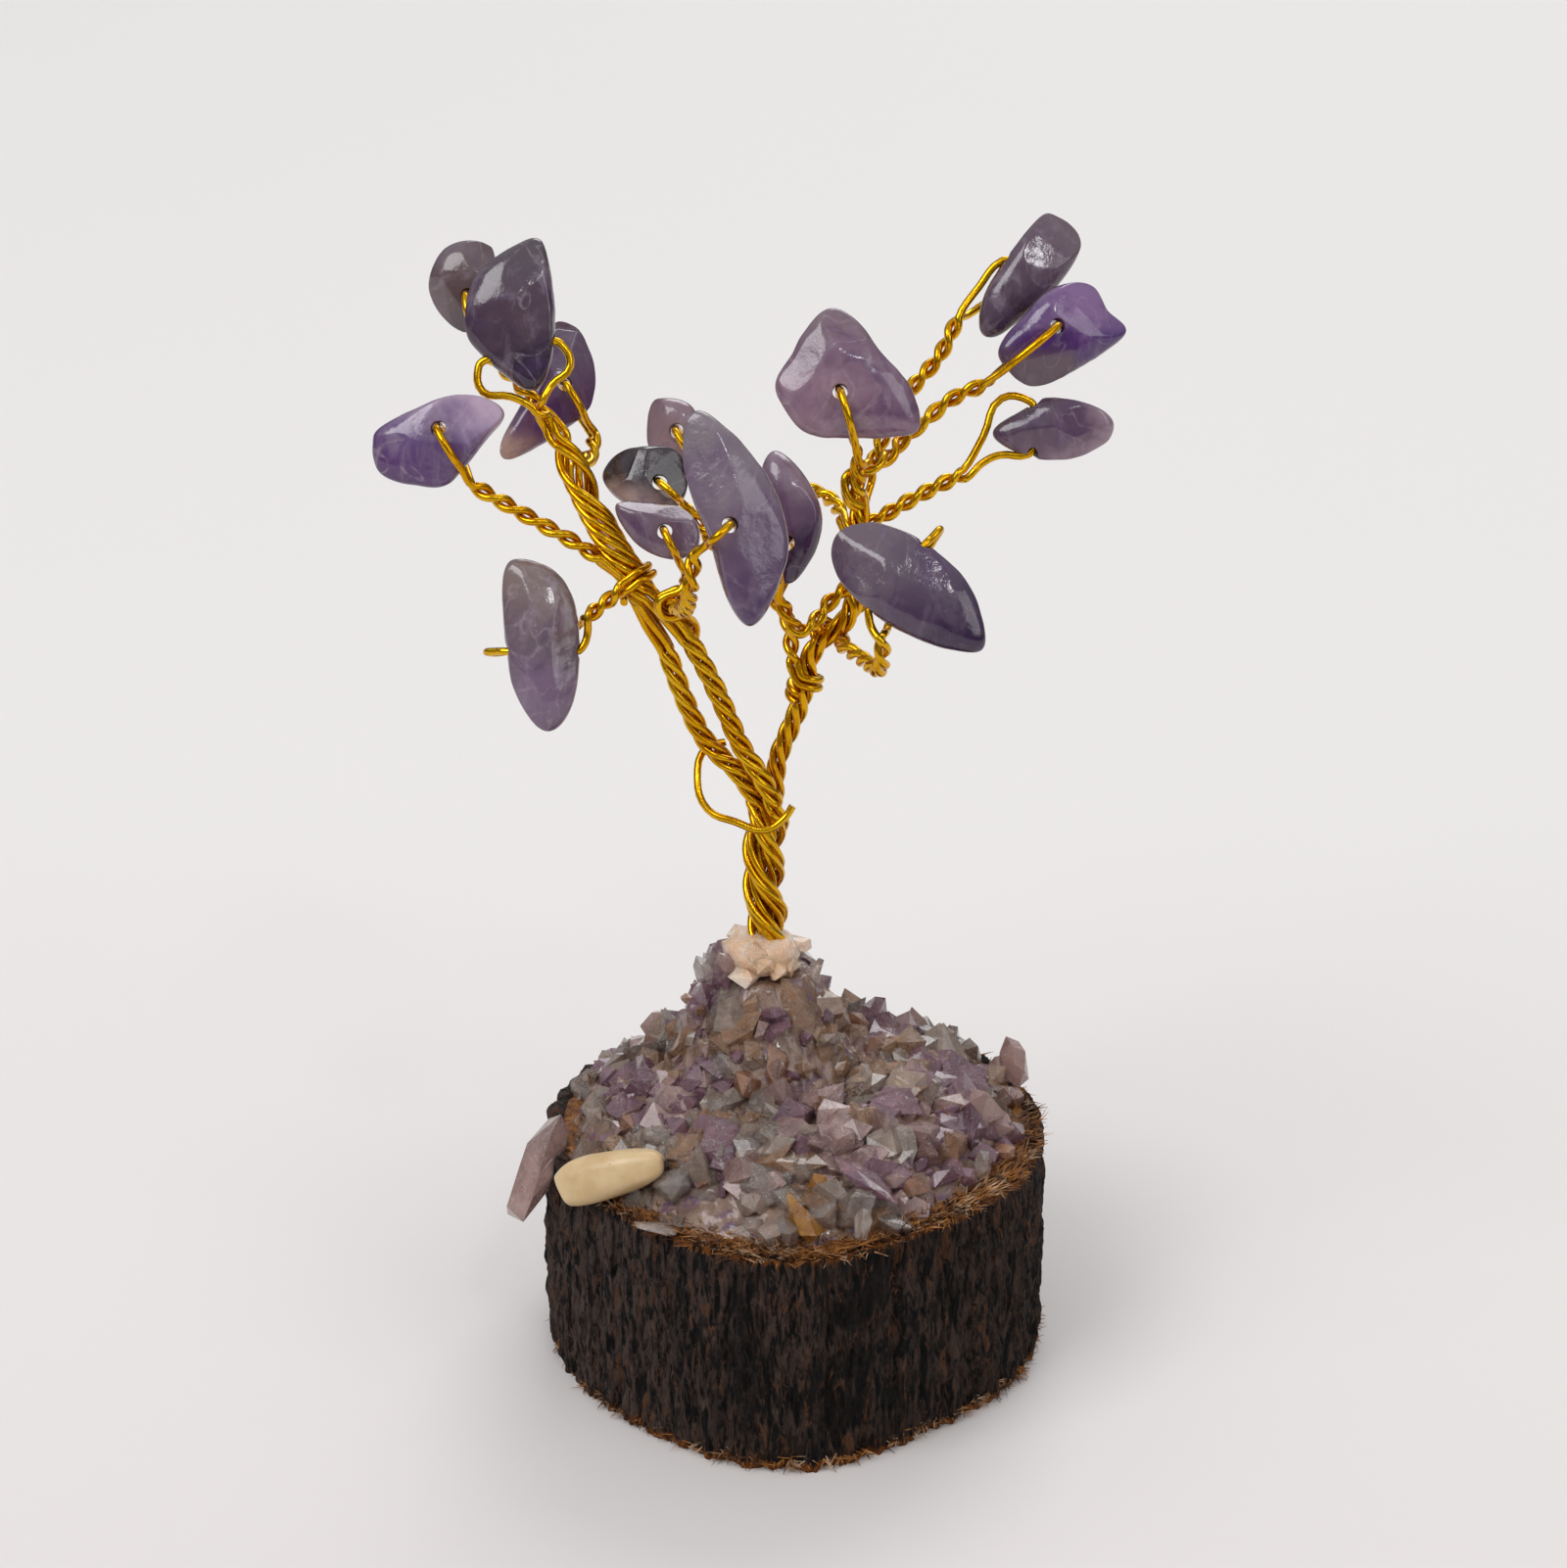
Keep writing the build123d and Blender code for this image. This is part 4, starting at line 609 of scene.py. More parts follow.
def amethystFinish(number, chip):
    g = Finish(f"amethyst_{number:02d}")
    middle, across, up, facing = chipFrame(chip)
    wide, tall, thick = chipSizes(chip)
    flow = chip["flow"]
    way = across * flow[0] + up * flow[1] + facing * flow[2]
    half = (abs(flow[0]) * wide + abs(flow[1]) * tall) / 2 / way.length
    cloud = g.grain(0.2, 3, 0.5, 0.6)
    fine = g.grain(0.9, 5, 0.65, 0.8)
    beyond = g.vector("SUBTRACT", g.point, middle / 1000)
    zone = g.vector("DOT_PRODUCT", beyond, way.normalized() * 500 / half, "Value") + 0.5
    zone = zone + (cloud - 0.5) * 1.1 + (fine - 0.5) * 0.15
    tone = [part * chip.get("dim", 1) for part in stoneTone]
    low, mid, high = ([a * b for a, b in zip(colour, tone)] for colour in chip["colours"])
    g.blend(zone.ramp(0.12, 0.5), low, mid)
    g.tint(zone.ramp(0.5, 0.92), high)
    smoky = g.grain(0.35, 4, 0.6, 1.2).ramp(0.5, 0.72)
    g.tint(smoky * chip["smoke"], (0.36, 0.28, 0.27))
    violet = g.grain(0.28, 3, 0.6, 1.6).ramp(0.52, 0.7)
    g.tint(violet * 0.45, (0.29, 0.18, 0.36))
    planes = (g.grain(0.16, 2, 0.35, 2.4) - 0.5).size().ramp(0.022, 0.0)
    frost = g.grain(1.6, 5, 0.75).ramp(0.36, 0.72)
    g.tint(planes * frost * chip["veil"], (0.72, 0.65, 0.70))
    cloudy = g.grain(0.45, 4, 0.6, 1.8).ramp(0.54, 0.8)
    g.tint(cloudy * chip["veil"] * 0.55, (0.62, 0.54, 0.60))
    streak = g.grain(0.8, 4, 0.6, 0.6, (1, 1, 0.3)).ramp(0.5, 0.68)
    g.tint(streak * chip["veil"] * 0.5, (0.66, 0.59, 0.66))
    # Painted shade: every stone is darkened towards the rims that turn away from the view.
    edge = g.add("ShaderNodeLayerWeight", {}, "Facing", Blend=0.5).ramp(0.45, 0.95)
    g.tint(edge * 0.5, [c * 0.5 for c in chip["colours"][0]])
    bump = g.grain(0.9, 3, 0.6) + g.grain(5, 2) * 0.12
    return g.made(fine.ramp(0.3, 0.8, 0.1, 0.24), bump, 0.05, Transmission_Weight=chip["clear"] * 0.8,
                  IOR=1.54, Coat_Weight=0.35, Coat_Roughness=0.04)


def crushedFinish(name, dark, light, clear, rough=0.12):
    g = Finish(name)
    cloud = g.grain(0.4, 4, 0.6, 0.8)
    fine = g.grain(2.2, 4, 0.7, 0.6)
    g.blend(cloud.ramp(0.32, 0.68), dark, light)
    g.tint(fine.ramp(0.56, 0.8) * 0.35, (0.82, 0.76, 0.74))
    cracks = (g.grain(0.42, 2, 0.4, 2.6) - 0.5).size().ramp(0.02, 0.0) * fine.ramp(0.42, 0.58)
    g.tint(cracks * 0.7, (0.92, 0.88, 0.86))
    return g.made(fine.ramp(0.3, 0.8, rough, rough + 0.2), fine + cloud + cracks * 0.3, 0.14,
                  Transmission_Weight=clear, IOR=1.5, Coat_Weight=0.8, Coat_Roughness=0.03)


def resinFinish():
    g = Finish("clear_resin")
    patch = g.grain(0.3, 4, 0.6, 0.9)
    fine = g.grain(1.4, 5, 0.7, 0.5)
    g.blend(patch.ramp(0.36, 0.62), (0.46, 0.32, 0.22), (0.64, 0.53, 0.47))
    g.tint(g.grain(0.5, 3, 0.6, 1.2).ramp(0.5, 0.66), (0.44, 0.32, 0.42))
    g.tint(fine.ramp(0.52, 0.78) * 0.5, (0.78, 0.69, 0.63))
    return g.made(fine.ramp(0.3, 0.8, 0.1, 0.3), fine + patch, 0.3, Transmission_Weight=0.15,
                  Coat_Weight=0.8, Coat_Roughness=0.06)


def peachFinish():
    g = Finish("peach_resin")
    patch = g.grain(0.45, 4, 0.6, 0.7)
    fine = g.grain(2.5, 4, 0.7)
    g.blend(patch.ramp(0.35, 0.68), (0.93, 0.76, 0.62), (0.97, 0.88, 0.81))
    g.tint(fine.ramp(0.58, 0.8) * 0.6, (0.74, 0.54, 0.40))
    return g.made(fine.ramp(0.3, 0.8, 0.2, 0.45), fine + patch, 0.2, Transmission_Weight=0.12,
                  Subsurface_Weight=0.2, Subsurface_Scale=0.0012, Coat_Weight=0.3)


def barkFinish():
    g = Finish("bark")
    fibre = g.grain(2.3, 6, 0.72, 0.6, (1, 1, 0.2))
    broad = g.grain(0.3, 4, 0.65, 0.6, (1, 1, 0.45))
    fleck = g.grain(1.2, 5, 0.7, 0.6, (1, 1, 0.3))
    side = g.level("X")
    g.blend(fibre.ramp(0.44, 0.58), (0.03, 0.022, 0.018), (0.30, 0.24, 0.21))
    dark = (side / 14).size().ramp(1.0, 0.2, 0.3, 0.85)
    g.tint(broad.ramp(0.46, 0.6) * dark, (0.04, 0.03, 0.025))
    g.tint(side.ramp(2, -16) * fibre.ramp(0.42, 0.6) * 0.5, (0.40, 0.34, 0.32))
    g.tint(fleck.ramp(0.56, 0.64) * 0.8, (0.40, 0.27, 0.19))
    front = (side * 0.35 - g.level("Y")).ramp(-2, 11)
    level, top = g.level("Z"), slab["height"]
    edges = level.ramp(1.5, 0.1) * front + level.ramp(top - 1.3, top) * (front * 0.6 + 0.2)
    torn = (fibre * 1.1 + edges * 0.6).ramp(0.9, 1.12)
    g.tint(torn, (0.50, 0.29, 0.11))
    return g.made(fibre.ramp(0.3, 0.7, 0.55, 0.9), fibre + fleck * 0.7, 0.6, Specular_IOR_Level=0.2)


def woodFinish():
    g = Finish("wood")
    fibre = g.grain(1.8, 5, 0.7, 0.5)
    patch = g.grain(0.35, 4, 0.6)
    g.blend(fibre.ramp(0.36, 0.68), (0.34, 0.18, 0.07), (0.68, 0.46, 0.25))
    g.tint(patch.ramp(0.5, 0.7) * 0.7, (0.26, 0.14, 0.07))
    return g.made(fibre.ramp(0.3, 0.7, 0.35, 0.8), fibre, 0.35, Specular_IOR_Level=0.35)


def fibreFinish():
    g = Finish("fibre")
    tone = g.grain(0.7, 4, 0.6)
    g.blend(tone.ramp(0.38, 0.62), (0.26, 0.15, 0.08), (0.66, 0.43, 0.20))
    g.tint(g.grain(0.8, 3).ramp(0.52, 0.66) * 0.75, (0.78, 0.67, 0.55))
    return g.made(tone.ramp(0.3, 0.7, 0.5, 0.8), tone, 0.03)


def creamFinish():
    g = Finish("cream_stone")
    patch = g.grain(0.35, 3, 0.6)
    spot = g.grain(2.2, 3, 0.6)
    g.blend(patch.ramp(0.35, 0.68), (0.84, 0.74, 0.57), (0.77, 0.65, 0.47))
    g.tint(spot.ramp(0.66, 0.72) * 0.7, (0.44, 0.33, 0.22))
    return g.made(patch.ramp(0.3, 0.7, 0.28, 0.42), patch + spot * 0.2, 0.08, Subsurface_Weight=0.15,
                  Subsurface_Scale=0.001)


gold, bark, wood, fibres = goldFinish(), barkFinish(), woodFinish(), fibreFinish()
resin, peach, cream = resinFinish(), peachFinish(), creamFinish()
# Crushed stone: its darker and lighter tone, how clear it is, and how rough the smooth kind is
palette = {
    "lilac": ((0.62, 0.48, 0.46), (0.80, 0.66, 0.63), 0.5),
    "violet": ((0.45, 0.30, 0.37), (0.63, 0.47, 0.52), 0.45),
    "smoky": ((0.52, 0.37, 0.26), (0.77, 0.60, 0.47), 0.5),
    "clear": ((0.78, 0.70, 0.64), (0.93, 0.88, 0.85), 0.85, 0.04),
    "grey": ((0.57, 0.49, 0.43), (0.78, 0.69, 0.63), 0.55),
    "russet": ((0.54, 0.36, 0.26), (0.73, 0.53, 0.42), 0.4),
    "amber": ((0.66, 0.40, 0.10), (0.84, 0.62, 0.26), 0.4),
    "black": ((0.10, 0.12, 0.13), (0.22, 0.25, 0.26), 0.1),
}
stones = {name: crushedFinish(f"crushed_{name}", *values) for name, values in palette.items()}
grains = list(stones.values())
print("materials")


# Wires, each one strand bent double
def strand(points, name, node):
    curve = bpy.data.curves.new(name, "CURVE")
    curve.dimensions = "3D"
    curve.bevel_depth = tree["wire"] / 2000
    curve.bevel_resolution, curve.resolution_u, curve.use_fill_caps = 3, 4, True
    spline = curve.splines.new("BEZIER")
    spline.bezier_points.add(len(points) - 1)
    for knot, point in zip(spline.bezier_points, points):
        knot.co = point / 1000
        knot.handle_left_type = knot.handle_right_type = "AUTO"
    model = linked(name, curve)
    mesh = worked(model)
    bpy.data.objects.remove(model)
    piece(mesh, name, [gold], "tree", [node])


kinks = dict(scale=0.5, size=0.03, seeds=(0, 20, 40))


def uneven(point, number):
    sway = Vector([fractal(point, kinks["scale"], 2, number + seed) for seed in kinks["seeds"]])
    return point + sway * kinks["size"]


for number, line in sorted(lines.items()):
    up = [middle + across * pairRadius for middle, across in line]
    down = [middle - across * pairRadius for middle, across in line]
    path = up + loopPoints(number, line[-1][0], line[-1][1]) + down[::-1]
    strand([uneven(point, number) for point in path], f"wire_{number:02d}_strand", f"wire_{number:02d}")
strand([place(share) for share in bindingShares], "binding_strand", "binding_wire")
print("wires")

# Chips: balls drawn out to their outlines, tumbled to a few flats, and drilled
tumble = dict(fineness=6, flatness=2.8, crown=2.0, tilt=(0.35, 1.2), plane=(0.64, 0.84), give=0.92, lump=0.035,
              wedge=0.3, drill=0.79, drillSides=28, sweeps=3, outlineSteps=8, outlineSweeps=4)


def drilled(model, hole, way):
    bm = bmesh.new()
    radius = chipSize["bore"] * tumble["drill"] / 2000
    bmesh.ops.create_cone(bm, cap_ends=True, segments=tumble["drillSides"], radius1=radius, radius2=radius,
                          depth=chipSize["length"] / 500, matrix=standing(hole, way))
    cutter = linked("cutter", meshOf(bm, "cutter"))
    modifier = model.modifiers.new("drilled", "BOOLEAN")
    modifier.operation, modifier.solver, modifier.object = "DIFFERENCE", "EXACT", cutter
    mesh = worked(model)
    bpy.data.objects.remove(model)
    bpy.data.objects.remove(cutter)
    return mesh


def outlineReach(chip):
    # The heart of the stone, and how far its outline lies from there at each turn
    wide, tall, thick = chipSizes(chip)
    outline = [Vector((x * wide, y * tall, 0)) for x, y in chip["outline"]]
    count, steps = len(outline), tumble["outlineSteps"]
    ring = []
    for i in range(count):
        four = [outline[(i + j) % count] for j in (-1, 0, 1, 2)]
        ring += [curveValue(*four, k / steps) for k in range(steps)]
    for sweep in range(tumble["outlineSweeps"]):
        ring = [(ring[i - 1] + ring[i] * 2 + ring[(i + 1) % len(ring)]) / 4 for i in range(len(ring))]
    heart = sum(ring, Vector()) / len(ring)
    around = sorted((turnOf(point - heart), (point - heart).length) for point in ring)
    around = [(around[-1][0] - 2 * pi, around[-1][1]), *around, (around[0][0] + 2 * pi, around[0][1])]
    return heart, around


for number, chip in chips.items():
    middle, across, up, facing = chipFrame(chip)
    wide, tall, thick = chipSizes(chip)
    heart, around = outlineReach(chip)
    chance = Random(chip.get("seed", number))
    planes = []
    for i in range(chip["flats"] + 2):
        turn, tilt = chance.uniform(0, 2 * pi), chance.uniform(*tumble["tilt"])
        way = Vector((cos(turn) * sin(tilt) / wide, sin(turn) * sin(tilt) / tall, cos(tilt) / thick)) * 2
        if i % 2:
            way.z = -way.z
        planes.append((way.normalized(), chance.uniform(*tumble["plane"]) / way.length))
    thinWay = chance.uniform(0, 2 * pi)
    slim = thick / 2 * chip.get("slim", 1)
    bm = ball(tumble["fineness"])
    for vert in bm.verts:
        x, y, z = vert.co
        beside = min(sqrt(x * x + y * y), 1)
        turn = atan2(y, x)
        rise = (1 - beside ** tumble["flatness"]) ** (1 / tumble["crown"])
        thin = 1 - tumble["wedge"] * (0.5 + 0.5 * beside * cos(turn - thinWay))
        flat = heart + Vector((cos(turn), sin(turn), 0)) * beside * between(around, turn)
        spot = Vector((flat.x, flat.y, (rise if z > 0 else -rise) * slim * thin))
        for way, far in planes:
            past = spot.dot(way) - far
            if past > 0:
                spot = spot - way * past * tumble["give"]
        spot = spot * (1 + fractal(spot, 0.3, 3, number) * tumble["lump"])
        vert.co = (middle + across * spot.x + up * spot.y + facing * spot.z) / 1000
    for sweep in range(tumble["sweeps"]):
        bmesh.ops.smooth_vert(bm, verts=bm.verts, factor=0.5, use_axis_x=True, use_axis_y=True,
                              use_axis_z=True)
    name = f"chip_{number:02d}"
    model = linked("model", meshOf(bm, f"{name}_stone"))
    hole, way, reach = chipHole(chip)
    finish = [amethystFinish(number, chip)]
    piece(drilled(model, hole, way), f"{name}_stone", finish, name, [name])
print("chips")


# The slice: bark with vertical fibres, wood within it, and torn fibres at both edges
def rimRadius(angle):
    turn = (angle / (2 * pi) * len(rimShares)) % len(rimShares)
    i = int(turn)
    four = [rimShares[(i + k) % len(rimShares)] for k in (-1, 0, 1, 2)]
    return slab["radius"] * curveValue(*four, turn - i)


def ringPoint(angle, radius, z):
    return Vector((radius * cos(angle), radius * sin(angle), z))


skin = dict(around=960, up=74, ridges=54, depth=0.6, fibre=0.34, wander=0.016, crumble=0.5,
            swing=0.22, shallow=0.3, inset=0.85, deepest=0.35, torn=0.308, edge=0.8, low=0.1, rough=0.16)
height = slab["height"]
ridgeLine = []
for i in range(2 * skin["ridges"]):
    varied = 0.5 + 0.5 * sin(1.9 * i)
    depth = 0.6 + 0.4 * varied if i % 2 else skin["shallow"] * varied
    ridgeLine.append((pi * (i + skin["swing"] * sin(2.7 * i)) / skin["ridges"], skin["depth"] * depth))
ridgeLine.append((2 * pi, ridgeLine[0][1]))


def skinPoint(angle, z):
    base = ringPoint(angle, rimRadius(angle), z)
    wandered = angle + fractal(base, 0.25, 2, 6) * skin["wander"]
    fibre = 0.5 + 0.8 * fractal(Vector((base.x, base.y, z * 0.32)), 2.4, 4, 2)
    chipped = max(fractal(Vector((base.x, base.y, z * 0.45)), 0.55, 3, 3), 0) * skin["crumble"]
    edge = 0.3 * exp(-(height - z) / 0.4) + 0.2 * exp(-z / 0.35)
    inset = between(ridgeLine, wandered % (2 * pi)) * skin["inset"] + min(max(fibre, 0), 1) * skin["fibre"]
    inset += min(chipped, skin["deepest"]) + edge
    torn = min(fractal(base, 0.8, 3, 3), 0) * skin["torn"] * exp(-(height - z) / 1.2)
    return ringPoint(angle, rimRadius(angle) - inset, max(z + torn, 0))


bm = bmesh.new()
bmesh.ops.create_cone(bm, cap_ends=False, segments=skin["around"], radius1=1, radius2=1, depth=1)
uprights = [edge for edge in bm.edges if abs(edge.verts[0].co.z - edge.verts[1].co.z) > 0.5]
bmesh.ops.subdivide_edges(bm, edges=uprights, cuts=skin["up"])
loop = [edge for edge in bm.edges if edge.is_boundary and edge.verts[0].co.z > 0]
for vert in bm.verts:
    vert.co = skinPoint(turnOf(vert.co), (vert.co.z + 0.5) * height) / 1000
low = height - skin["low"]
for inset, z, rough in ((skin["edge"], low, skin["rough"]), (slab["bark"], low, 0), (slab["bark"], 0, 0)):
    drawn = bmesh.ops.extrude_edge_only(bm, edges=loop)["geom"]
    loop = [item for item in drawn if isinstance(item, bmesh.types.BMEdge) and item.is_boundary]
    for vert in {vert for edge in loop for vert in edge.verts}:
        angle = turnOf(vert.co)
        base = ringPoint(angle, rimRadius(angle) - inset, z)
        vert.co = (base + Vector((0, 0, rough * fractal(base, 1.3, 3, 4)))) / 1000
bmesh.ops.bridge_loops(bm, edges=[edge for edge in bm.edges if edge.is_boundary])
piece(bm, "bark_ring", [bark], "tree", ["bark"])


def layeredCone(around, rings):
    # A closed cone whose slope is cut into rings, to be drawn into a lid by its own radius
    bm = bmesh.new()
    bmesh.ops.create_cone(bm, cap_ends=True, segments=around, radius1=1, radius2=0, depth=1)
    slopes = [edge for edge in bm.edges if abs(edge.verts[0].co.z - edge.verts[1].co.z) > 0.5]
    bmesh.ops.subdivide_edges(bm, edges=slopes, cuts=rings - 1)
    return bm


disc = dict(around=240, rings=40, gap=0.02, low=0.05, rough=0.22)
bm = layeredCone(disc["around"], disc["rings"])
for vert in bm.verts:
    share, angle = vert.co.xy.length, turnOf(vert.co)
    full = rimRadius(angle) - slab["bark"] - disc["gap"]
    spot = ringPoint(angle, full, 0)
    if share < 0.999:
        spot = ringPoint(angle, full * share * disc["rings"] / (disc["rings"] - 1), height - disc["low"])
        spot.z += disc["rough"] * fractal(spot, 0.9, 4, 8)
    vert.co = spot / 1000
piece(bm, "wood_disc", [wood], "tree", ["wood_slice"])


def addFibre(bm, root, way, length, width):
    bmesh.ops.create_cone(bm, cap_ends=True, segments=4, radius1=width / 2000, radius2=width / 12000,
                          depth=length / 1000,
                          matrix=standing(root + way * length / 2, way + Vector((0, 0, 1e-4))))


fringe = dict(tries=16000, length=(0.7, 2.1), width=(0.06, 0.2), facing=-62, past=0.3, keen=2.2, atTop=0.6,
              aside=(-0.8, 0.8), lowest=0.06)
chance = Random(11)
bm = bmesh.new()
for i in range(fringe["tries"]):
    angle = chance.uniform(0, 2 * pi)
    front = 0.5 + 0.5 * cos(angle - radians(fringe["facing"]))
    clump = 0.5 + 0.5 * fractal(ringPoint(angle, 10, 0), 0.5, 2, 9)
    if chance.random() > front ** fringe["keen"] * clump:
        continue
    top = chance.random() < fringe["atTop"]
    roundWay = Vector((-sin(angle), cos(angle), 0))
    if top:
        root = ringPoint(angle, rimRadius(angle) - chance.uniform(0.9, 3.1), height - 0.2)
        way = ringPoint(angle, chance.uniform(0, 1), chance.uniform(-0.1, 0.7))
        length = chance.uniform(*fringe["length"]) * (0.5 + 0.4 * front)
    else:
        root = ringPoint(angle, rimRadius(angle) - chance.uniform(0.5, 0.95), chance.uniform(0.2, 0.9))
        way = ringPoint(angle, chance.uniform(0.15, 0.9), chance.uniform(-0.9, 0.35))
        length = chance.uniform(*fringe["length"]) * (0.25 + 0.5 * front)
    way = (way + roundWay * chance.uniform(*fringe["aside"])).normalized()
    tip = root + way * length
    if tip.z < fringe["lowest"] or tip.xy.length > rimRadius(angle) + fringe["past"]:
        continue
    addFibre(bm, root, way, length, chance.uniform(*fringe["width"]))
piece(bm, "torn_fibres", [fibres], "tree")
print("slice")

# The mound: a rough dome and cone of resin, with crushed stone bedded in it
dome = dict(rim=2.4, top=height + 3.8, coneTop=height + 10.8, reach=6.4, run=3.57, shift=0.45, rimWidth=1.9,
            width=4.1, around=220, rings=92)
stemX = stemShares[0][0] * tree["height"]
coneX = stemX - dome["shift"]


def moundHeight(x, y):
    # Height of the mound's skin over a point of the slice
    inward = rimRadius(atan2(y, x)) - dome["rim"] - Vector((x, y)).length
    level = height + min(max(inward, 0) / dome["rimWidth"], 1) * slab["rimHeight"]
    level += min(max(inward - dome["rimWidth"], 0) / dome["width"], 1) * slab["domeHeight"]
    cone = dome["top"] + (dome["reach"] - Vector((x - coneX, y)).length) / dome["run"] * slab["coneHeight"]
    return max(level, min(cone, dome["coneTop"])) if inward > 0 else height - 0.1


bm = layeredCone(dome["around"], dome["rings"])
for vert in bm.verts:
    share, angle = vert.co.xy.length, turnOf(vert.co)
    radius = (rimRadius(angle) - dome["rim"] + 0.2) * share
    spot = ringPoint(angle, radius, 0) + Vector((coneX * (1 - share), 0, 0))
    spot.z = moundHeight(spot.x, spot.y) if share < 0.999 else height - 0.2
    rough = fractal(spot, 0.45, 4, 1) * 0.5 + abs(fractal(spot, 1.1, 2, 2)) * 0.4
    spot.z = min(spot.z - 0.15 + rough * min((1 - share) * 15, 1), dome["coneTop"])
    vert.co = spot / 1000
piece(bm, "resin_bed", [resin], "tree", ["resin_mound"])


def addShard(bm, middle, ways, halves, chance, material, corners, even=0.8):
    # A broken piece with flat faces: the hull of points scattered on an egg
    cloud = []
    for i in range(corners):
        z = 1 - 2 * (i + chance.uniform(0.1, 0.9)) / corners
        turn = 2.4 * i + chance.uniform(-0.5, 0.5)
        flat = sqrt(1 - z * z)
        share = Vector((flat * cos(turn), flat * sin(turn), z)) * chance.uniform(even, 1)
        point = middle.copy()
        for way, half, part in zip(ways, halves, share):
            point += way * half * part
        cloud.append(bm.verts.new(point / 1000))
    hull = bmesh.ops.convex_hull(bm, input=cloud)
    for item in hull["geom"]:
        if isinstance(item, bmesh.types.BMFace):
            item.material_index = material
    bmesh.ops.delete(bm, geom=[vert for vert in cloud if not vert.link_faces], context="VERTS")


def turnedWays(main, chance):
    main = main.normalized()
    side = main.orthogonal().normalized()
    turn = chance.uniform(0, 2 * pi)
    side = side * cos(turn) + main.cross(side) * sin(turn)
    return side, main.cross(side), main


# Rings of crushed stone: how many, how far in from the rim or out from the cone, and shares of the palette's kinds
rings = {
    "rim": dict(count=290, inward=(-0.1, 3.4), size=(1.6, 3.4), rise=0.05, lean=0.9,
                weights=(5, 4, 3, 3, 3, 0.6, 0.12, 0)),
    "slope": dict(count=360, inward=(2.4, 6.8), size=(1.9, 4.0), rise=0.0, lean=0.9,
                  weights=(5, 5, 3, 2, 3, 0.3, 0, 0.03)),
    "shoulder": dict(count=230, inward=(6.4, 10.5), size=(1.9, 4.0), rise=0.0,
                     lean=0.8, weights=(5, 4, 4, 1.5, 3, 0.4, 0, 0)),
    "foot": dict(count=110, cone=(3.2, 6.4), size=(1.5, 3.0), rise=0.0, lean=0.5,
                 weights=(3, 2.5, 6, 1.2, 2, 0.8, 0.1, 0)),
}
# The large crystals that make up the cone: turn, height and half width
coneCrystals = [
    (-143, 8.7, 2.1), (-50, 8.8, 1.8), (14, 8.6, 1.8), (75, 8.7, 2.0), (131, 8.6, 1.8), (184, 8.8, 1.6),
    (-166, 5.9, 1.7), (-119, 5.8, 1.9), (-80, 5.6, 1.5), (-32, 5.9, 1.9), (21, 5.8, 1.7), (69, 5.7, 1.8),
    (111, 5.8, 1.7), (152, 5.9, 1.8), (-100, 7.2, 0.9)]
# Crushed stone: a stone's halves in shares of its size, what shares of the full size there are, how upright it
# stands, how many corners it has, and how each kind in the palette keeps to its own patches
crushed = dict(spans=((0.4, 0.65), (0.28, 0.5), (0.5, 0.85)), sizes=(0.4, 0.55, 0.8, 1, 1), upright=(0.2, 0.5, 1),
               corners=(8, 12), patch=0.2, pull=6, ways=(0, 1, -0.3, -1, -0.9, 0.4, 0, 0),
               coneWeights=(2, 1, 6, 0.3, 1.5, 1.5, 0, 0), coneLean=0.14, stemRoom=2.2)


def anyWay(chance):
    return Vector([chance.uniform(-1, 1) for axis in range(3)])


def anyKind(weights, chance):
    return chance.choices(range(len(grains)), weights)[0]


for name, ring in rings.items():
    chance = Random(name)
    bm = bmesh.new()
    for i in range(ring["count"]):
        angle = chance.uniform(0, 2 * pi)
        if "cone" in ring:
            far = chance.uniform(*ring["cone"])
            x, y = coneX + far * cos(angle), far * sin(angle)
            outward = ringPoint(angle, 0.6, 1.2)
        else:
            far = rimRadius(angle) - dome["rim"] - chance.uniform(*ring["inward"])
            x, y = far * cos(angle), far * sin(angle)
            outward = ringPoint(angle, 0.4, 0.8)
        if Vector((x - stemX, y)).length < crushed["stemRoom"]:
            continue
        size = chance.uniform(*ring["size"]) * chance.choice(crushed["sizes"])
        spot = Vector((x, y, moundHeight(x, y) + size * ring["rise"] - 0.1))
        leaning = outward * chance.choice(crushed["upright"]) + anyWay(chance) * ring["lean"]
        halves = [size * chance.uniform(*span) for span in crushed["spans"]]
        # Stones of one colour lie together, as they broke
        patch = fractal(spot, crushed["patch"], 2, 5) * crushed["pull"]
        weights = [weight * max(1 + patch * way, 0.1) for weight, way in zip(ring["weights"], crushed["ways"])]
        kind = anyKind(weights, chance)
        ways = turnedWays(leaning, chance)
        addShard(bm, spot, ways, halves, chance, kind, chance.randint(*crushed["corners"]))
    if "cone" in ring:
        for turn, low, half in coneCrystals:
            angle = radians(turn)
            far = dome["reach"] - (height + low - dome["top"]) / slab["coneHeight"] * dome["run"] - half * 0.4
            spot = ringPoint(angle, far, height + low) + Vector((coneX, 0, 0))
            leaning = ringPoint(angle, -0.45, 1) + anyWay(chance) * crushed["coneLean"]
            halves = (half, half * chance.uniform(0.6, 0.85), half * chance.uniform(1.25, 1.6))
            kind = anyKind(crushed["coneWeights"], chance)
            addShard(bm, spot, turnedWays(leaning, chance), halves, chance, kind, 12, 0.88)
    name, nodes = f"{name}_grains", [f"{name}_crystals"]
    piece(bm, name, grains, "tree", nodes, False)
print("crushed stone")


# Single crystals: kind of stone, slot, and each part's two ends in shares of the slice's radius, width, thickness
def onSlice(share):
    return Vector(share) * slab["radius"] + Vector((0, 0, height))


